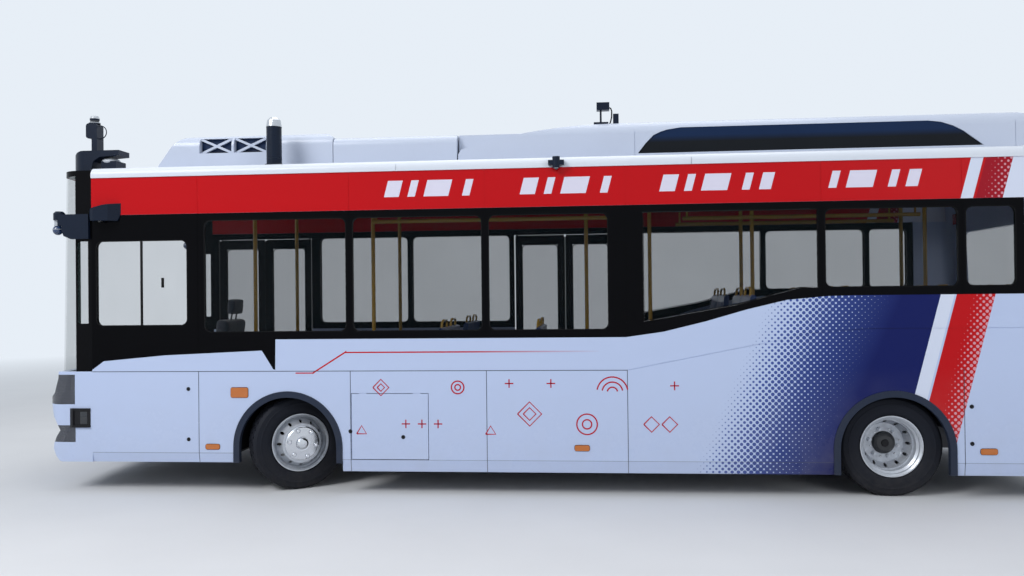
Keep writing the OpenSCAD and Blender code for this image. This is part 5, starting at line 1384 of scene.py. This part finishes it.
@dataclass
class Roof(Part):
    """Sensor rings, camera lenses, the post's tip, cover bolts, the deck's domes and the conduit."""

    def towers(self) -> None:
        """Adds bright rings, a glass band and a cap on each sensor tower."""
        rings, bands, caps = Shape(), Shape(), Shape()
        for side in (-1, 1):
            at = spot(412, side * 1.0, 0)
            for z, r in ((3.0760, 0.0470), (3.1125, 0.0400)):
                rings.spin([(r - 0.004, 0.0), (r, 0.0008), (r, 0.0050), (r - 0.004, 0.0060)], at + UP * z, UP, 48)
            bands.spin([(0.0340, 0.0), (0.0366, 0.0008), (0.0366, 0.0182), (0.0340, 0.0190)], at + UP * 3.0800, UP, 48)
            caps.spin([(0.001, 0.0), (0.0305, 0.0), (0.0398, -0.0205), (0.0398, -0.0228), (0.001, -0.0228)],
                      at + Vector((0, 0, 3.1365)), UP, 48)
        self.add(rings, "tower_rings", "brushed_steel", "cast_metal")
        self.add(bands, "tower_glass_bands", "screen", "gloss_black")
        self.add(caps, "tower_caps", "grey_cap", "grey_case")

    def lenses(self) -> None:
        """Adds lenses with rings on the side pods, the arms and the rail cameras."""
        lens, ring, ball, neck = Shape(), Shape(), Shape(), Shape()
        rows = []
        for side in (-1, 1):
            rows += [((4342, side * (HALF_WIDTH + 0.0385), 2.568), (0, 0, -1), 0.020),
                     ((600, side * (HALF_WIDTH + 0.0450), 2.2225), (0, side * 0.2, -1), 0.018)]
            centre = spot(195, side * (HALF_WIDTH - 0.025), 2.158)
            ball.dome(centre, (0.0416,) * 3, sides=40)
            neck.spin([(0.0262, 0.0), (0.0284, 0.0008), (0.0284, 0.0480), (0.0262, 0.0488)], centre + UP * 0.034,
                      UP, 40)
            neck.spin([(0.0400, -0.0030), (0.0432, -0.0022), (0.0432, 0.0022), (0.0400, 0.0030)], centre + UP * 0.006,
                      UP, 48)
        for (x, y, z), out, r in rows:
            at, way = spot(x, y, z), Vector(out).normalized()
            lens.dome(at, (r * 0.8,) * 3)
            ring.spin([(r * 0.82, -0.003), (r * 1.1, -0.003), (r * 1.05, 0.0035), (r * 0.85, 0.0035)], at, way, 36)
        self.add(lens, "camera_lenses", "screen", "gloss_black")
        self.add(ring, "camera_lens_rings", "brushed_steel", "cast_metal")
        self.add(ball, "corner_camera_domes", "blue_lens", "gloss_black")
        self.add(neck, "corner_camera_necks", "grey_cap", "grey_case")

    def post(self) -> None:
        """Adds the bright tip, the joint ring and the foot flange of the black post."""
        at = spot(2010, -1.080, 0)
        tip, collar = Shape(), Shape()
        tip.spin([(0.001, 0.0), (0.0305, 0.0), (0.0547, -0.0220), (0.0627, -0.0720), (0.0627, -0.0775),
                  (0.001, -0.0775)], at + UP * 3.0630, UP, 64)
        self.add(tip, "post_tip", "brushed_steel", "cast_metal")
        for z, r, h in ((2.6655, 0.079, 0.010), (2.980, 0.0635, 0.006), (2.72, 0.0635, 0.005)):
            collar.spin([(r - 0.012, 0.0), (r, 0.0), (r, h * 0.7), (r - 0.003, h), (r - 0.012, h)], at + UP * z, UP, 64)
        for k in range(6):
            t = math.radians(60 * k)
            bolt = at + Vector((0.071 * math.cos(t), 0.071 * math.sin(t), 2.675))
            collar.rod(bolt, bolt + UP * 0.005, 0.0045, 6)
        self.add(collar, "post_collars", "navy_gloss", "navy_plastic")

    def covers(self) -> None:
        """Adds bolts along the covers' feet."""
        bolts = Shape()
        y0 = 0.865
        for side in (-1, 1):
            for x in list(range(960, 2400, 160)) + list(range(2520, 3440, 150)) + list(range(3600, 8060, 220)):
                at = spot(x, side * y0, 2.6895)
                bolts.rod(at - Vector((0, side * 0.001, 0)), at + Vector((0, side * 0.0042, 0)), 0.0085, 6)
        self.add(bolts, "cover_bolts", "brushed_steel", "cast_metal")

    def deck(self) -> None:
        """Adds the platforms' screws and cover plates, and the domes below them, coloured light grey as a painted
        highlight.
        """
        strip, screws, domes = Shape(), Shape(), Shape()
        for side in (-1, 1):
            strip.box((station(480), side * 1.02 - 0.04, 2.8305), (station(640), side * 1.02 + 0.04, 2.8340), 0.0015)
            # Painted highlight: these domes over the deck's own are coloured light grey.
            domes.dome((station(556), side, 2.742), (0.0768, 0.0768, 0.0350), sides=40)
            for y in (0.935, 1.000, 1.065):
                at = spot(655, side * y, 2.831)
                screws.rod(at - Vector((0, 0, 0.001)), at + Vector((0, 0, 0.0028)), 0.0065, 20, 0.0050)
        self.add(strip, "deck_cover_plates", "inner_plastic", "grey_case")
        self.add(domes, "deck_domes", "grey_cap", "grey_case")
        self.add(screws, "deck_screws", "brushed_steel", "cast_metal")

    def conduits(self) -> None:
        """Adds the fixed conduit from the roof camera, clipped along the main cover."""
        shape, clips = Shape(), Shape()
        top = 2.995
        route = ((4764, -0.755, 0.138), (4782, -0.755, 0.130), (4790, -0.755, 0.105), (4788, -0.755, 0.055),
                 (4778, -0.738, 0.014), (4760, -0.700, 0.003), (4700, -0.660, 0.001), (4500, -0.650, -0.013))
        shape.tube([(station(x), y, top + z) for x, y, z in route], 0.0055, 12)
        for x, low in ((4540, 0.017), (4620, 0.010), (4720, 0.006)):
            foot = top - low
            clips.box((station(x) - 0.007, -0.672, foot - 0.002), (station(x) + 0.007, -0.638, foot + 0.0145), 0.002)
        self.add(shape, "camera_conduit", "seal_rubber", "black_rubber")
        self.add(clips, "conduit_clips", "inner_plastic", "dark_plastic")

    def build(self) -> None:
        """Makes them all."""
        self.towers()
        self.lenses()
        self.post()
        self.covers()
        self.deck()
        self.conduits()


@dataclass
class Cabin(Part):
    """Seat pads, grips, screens, lamps, the driver's seat and controls, seen through the glass."""

    seat_width: float = 0.44

    def pad(self, shape: Shape, centre: Vector, size: Vector, turn: Matrix, crown: float = 0.35) -> None:
        """Adds one crowned pad with pulled-in sides.

        Args:
            shape: where it is added.
            centre: the pad's middle.
            size: its length, width and thickness.
            turn: its rotation.
            crown: how much of the thickness the middle rises over the rim.
        """
        made = bmesh.ops.create_grid(shape.bm, x_segments=7, y_segments=7, size=0.5)["verts"]
        faces = list({f for v in made for f in v.link_faces})
        out = bmesh.ops.extrude_face_region(shape.bm, geom=faces)["geom"]
        top = [v for v in out if isinstance(v, bmesh.types.BMVert)]
        bmesh.ops.translate(shape.bm, vec=(0, 0, 0.5), verts=top)
        raised = set(top)
        for vert in set(made) | raised:
            x, y = vert.co.x * 2, vert.co.y * 2
            rim = max(abs(x), abs(y))
            pull = 1 - 0.05 * (1 - abs(x) ** 2) * (abs(y) > 0.95) - 0.05 * (1 - abs(y) ** 2) * (abs(x) > 0.95)
            z = 0.0 if vert not in raised else (1 - crown) + crown * (1 - x ** 4) * (1 - y ** 4) - 0.25 * (rim > 0.95)
            local = Vector((vert.co.x * size.x * pull, vert.co.y * size.y * pull, (z - 0.5) * size.z))
            vert.co = centre + turn @ local

    def chairs(self) -> list[tuple[float, float, float]]:
        """The front edge's station, the middle's Y and the floor's height of every passenger seat."""
        rows, width = [], self.seat_width
        low = ((2870, -1), (3650, -1), (4430, -1), (2870, 1))
        high = ((5330, -1), (5330, 1), (6080, -1), (6080, 1), (6830, -1), (6830, 1))
        for floor, pairs in ((0.340, low), (0.580, high)):
            for x, side in pairs:
                middle = side * (1.170 - width - 0.020)
                rows += [(x, middle + k * (width / 2 + 0.006), floor) for k in (-1, 1)]
        rows += [(7560, k * (width + 0.008), 0.580) for k in range(-2, 3)]
        return rows

    def passenger_pads(self) -> None:
        """Adds a cloth pad on every moulded seat and back."""
        shape = Shape()
        for x, y, floor in self.chairs():
            seat = spot(x + 205, y, floor + 0.448)
            self.pad(shape, seat, Vector((0.34, 0.37, 0.026)), turned(3.2, "Y", 3))
            back = spot(x + 466, y, floor + 0.70)
            self.pad(shape, back, Vector((0.44, 0.36, 0.026)), turned(-82.5, "Y", 3))
        made = self.add(shape, "passenger_pads", "plush", "seat_cloth", smooth=50.0)

    def grips(self) -> None:
        """Adds a grip over every aisle seat's back."""
        shape = Shape()
        for x, y, floor in self.chairs():
            top = floor + 0.98
            half = ((520, -0.13, -0.02), (524, -0.125, 0.035), (526, -0.09, 0.055))
            bow = half + tuple((dx, -dy, dz) for dx, dy, dz in reversed(half))
            shape.tube([(station(x + dx), y + dy, top + dz) for dx, dy, dz in bow], 0.010, 10)
        self.add(shape, "seat_grips", "rail_yellow", "yellow_rail")

    def cushion(self, name: str, low: Vector, high: Vector, turn: Matrix, voxel: float = 0.012) -> bpy.types.Object:
        """Makes one upholstered cushion that is swollen by a short cloth run.

        Args:
            name: the piece's name.
            low: lowest corner before the turn.
            high: highest corner before the turn.
            turn: rotation about the middle.
            voxel: the mesh's cell.

        Returns:
            The cushion.
        """
        bm = bmesh.new()
        size = high - low
        verts = bmesh.ops.create_cube(bm, size=1.0)["verts"]
        bmesh.ops.scale(bm, vec=size, verts=verts)
        bmesh.ops.bevel(bm, geom=list(bm.edges), offset=min(size) * 0.28, segments=3, profile=0.5, affect="EDGES",
                        material=-1)
        bmesh.ops.subdivide_edges(bm, edges=[e for e in bm.edges if e.calc_length() > 0.04], cuts=8, use_grid_fill=True)
        bmesh.ops.transform(bm, matrix=Matrix.Translation((low + high) / 2) @ turn.to_4x4(), verts=bm.verts)
        mesh = bpy.data.meshes.new(name)
        bm.to_mesh(mesh)
        bm.free()
        made = bpy.data.objects.new(name, mesh)
        bpy.context.scene.collection.objects.link(made)
        bpy.context.view_layer.objects.active = made
        made.select_set(True)
        remesh = made.modifiers.new("even", "REMESH")
        remesh.mode, remesh.voxel_size = "VOXEL", voxel
        bpy.ops.object.modifier_apply(modifier=remesh.name)
        rest = [v.co.copy() for v in made.data.vertices]
        cloth = made.modifiers.new("cloth", "CLOTH")
        cloth.settings.quality = 5
        cloth.settings.use_pressure = True
        cloth.settings.uniform_pressure_force = 4.0
        cloth.settings.effector_weights.gravity = 0.0
        scene = bpy.context.scene
        for step in range(1, 15):
            scene.frame_set(step)
        graph = bpy.context.evaluated_depsgraph_get()
        swollen = made.evaluated_get(graph).to_mesh()
        shifts = [v.co - r for v, r in zip(swollen.vertices, rest)]
        made.evaluated_get(graph).to_mesh_clear()
        made.modifiers.clear()
        scene.frame_set(1)
        for vert, start, shift in zip(made.data.vertices, rest, shifts):
            vert.co = start + (shift.normalized() * min(shift.length, 0.010) if shift.length > 1e-9 else shift)
        for polygon in made.data.polygons:
            polygon.use_smooth = True
        made.select_set(False)
        made.data.materials.append(self.finishes["cloth"])
        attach(made, "bus_body")
        LOG.info("cushion %s: %d faces", name, len(made.data.polygons))
        return made

    def driver_seat(self) -> None:
        """Makes the driver's seat: two cushions, a head pad and the sprung base."""
        x, y, floor = 930, -0.640, 0.340
        base = Shape()
        base.box((station(x + 60), y - 0.18, floor), (station(x + 390), y + 0.18, floor + 0.058), 0.008)
        for k in range(6):
            base.box((station(x + 112) + k * 0.002, y - 0.075 + k * 0.002, floor + 0.062 + k * 0.048),
                     (station(x + 328) - k * 0.002, y + 0.075 - k * 0.002, floor + 0.104 + k * 0.048), 0.014, 3)
        base.box((station(x + 40), y - 0.21, floor + 0.352), (station(x + 455), y + 0.21, floor + 0.378), 0.010)
        base.tube([(station(x + 536), y - 0.05, floor + 1.04), (station(x + 552), y - 0.05, floor + 1.13)], 0.007, 10)
        base.tube([(station(x + 536), y + 0.05, floor + 1.04), (station(x + 552), y + 0.05, floor + 1.13)], 0.007, 10)
        self.add(base, "driver_seat_base", "inner_plastic", "dark_plastic")
        self.cushion("driver_seat_cushion", spot(x + 12, y - 0.222, floor + 0.388),
                            spot(x + 430, y + 0.222, floor + 0.462), turned(2.0, "Y", 3))
        back = self.cushion("driver_seat_back", spot(x + 440, y - 0.222, floor + 0.462),
                            spot(x + 535, y + 0.222, floor + 1.062), turned(7.2, "Y", 3))
        self.cushion("driver_head_pad", spot(x + 530, y - 0.118, floor + 1.100),
                            spot(x + 586, y + 0.118, floor + 1.226), turned(5.0, "Y", 3), 0.009)
        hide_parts("driver_seat")

    def controls(self) -> None:
        """Adds the driver's screens, console top, switches and pedals."""
        screen, frame_shape, knobs = Shape(), Shape(), Shape()
        tilt = turned(-28)
        for y0, y1, x, z in ((-0.93, -0.70, 470, 1.060), (-0.56, -0.34, 470, 1.060)):
            frame_shape.box((station(x) - 0.012, y0, z), (station(x) + 0.016, y1, z + 0.150), 0.006, turn=tilt)
            screen.box((station(x) + 0.0165, y0 + 0.012, z + 0.012), (station(x) + 0.0185, y1 - 0.012, z + 0.138),
                       0.0006, turn=tilt)
        frame_shape.box((station(500), -0.885, 1.010), (station(560), -0.395, 1.075), 0.015, 3)
        for k in range(8):
            at = spot(575, -0.30 + k * 0.045, 0.992)
            knobs.box(at - Vector((0.012, 0.016, 0.004)), at + Vector((0.012, 0.016, 0.010)), 0.003)
        for y in (-0.60, -0.70):
            knobs.box((station(548), y - 0.035, 0.375), (station(580), y + 0.035, 0.520), 0.006,
                      turn=turned(-30))
        self.add(screen, "driver_screens", "screen", "gloss_black")
        self.add(frame_shape, "driver_screen_frames", "inner_plastic", "dark_plastic")
        self.add(knobs, "driver_switches", "seal_rubber", "black_rubber")

    def lining(self) -> None:
        """Adds ceiling panels, light strips and the passenger screen."""
        ceiling, lights, panel = Shape(), Shape(), Shape()
        for k in range(6):
            start = 560 + k * 1200
            ceiling.box((station(start), -1.10, 2.600), (station(start + 1188), 1.10, 2.618), 0.004)
            for y in (-0.72, 0.72):
                ends = station(720 + k * 1180), station(1640 + k * 1180)
                lights.box((ends[0], y - 0.045, 2.588), (ends[1], y + 0.045, 2.602), 0.004)
        self.add(ceiling, "ceiling_panels", "pale_lining", "pale_paint")
        self.add(lights, "ceiling_lights", "diffuser", "lamp_glass")
        panel.box((station(2040), -0.30, 2.36), (station(2075), 0.30, 2.585), 0.008)
        self.add(panel, "passenger_screen", "screen", "gloss_black")

    def build(self) -> None:
        """Makes them all."""
        self.passenger_pads()
        self.grips()
        self.driver_seat()
        self.controls()
        self.lining()


def main() -> None:
    """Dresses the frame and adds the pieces."""
    logging.basicConfig(level=logging.INFO, format="%(name)s %(message)s")
    finishes = Finishes()
    finishes.build()
    finishes.dress_frame()
    Studio().build()
    for kind in (Wheels, Windows, SideDetails, Nose, Tail, Doors, Roof, Cabin):
        LOG.info("building %s", kind.__name__)
        kind(finishes).build()


if __name__ == "__main__":
    main()
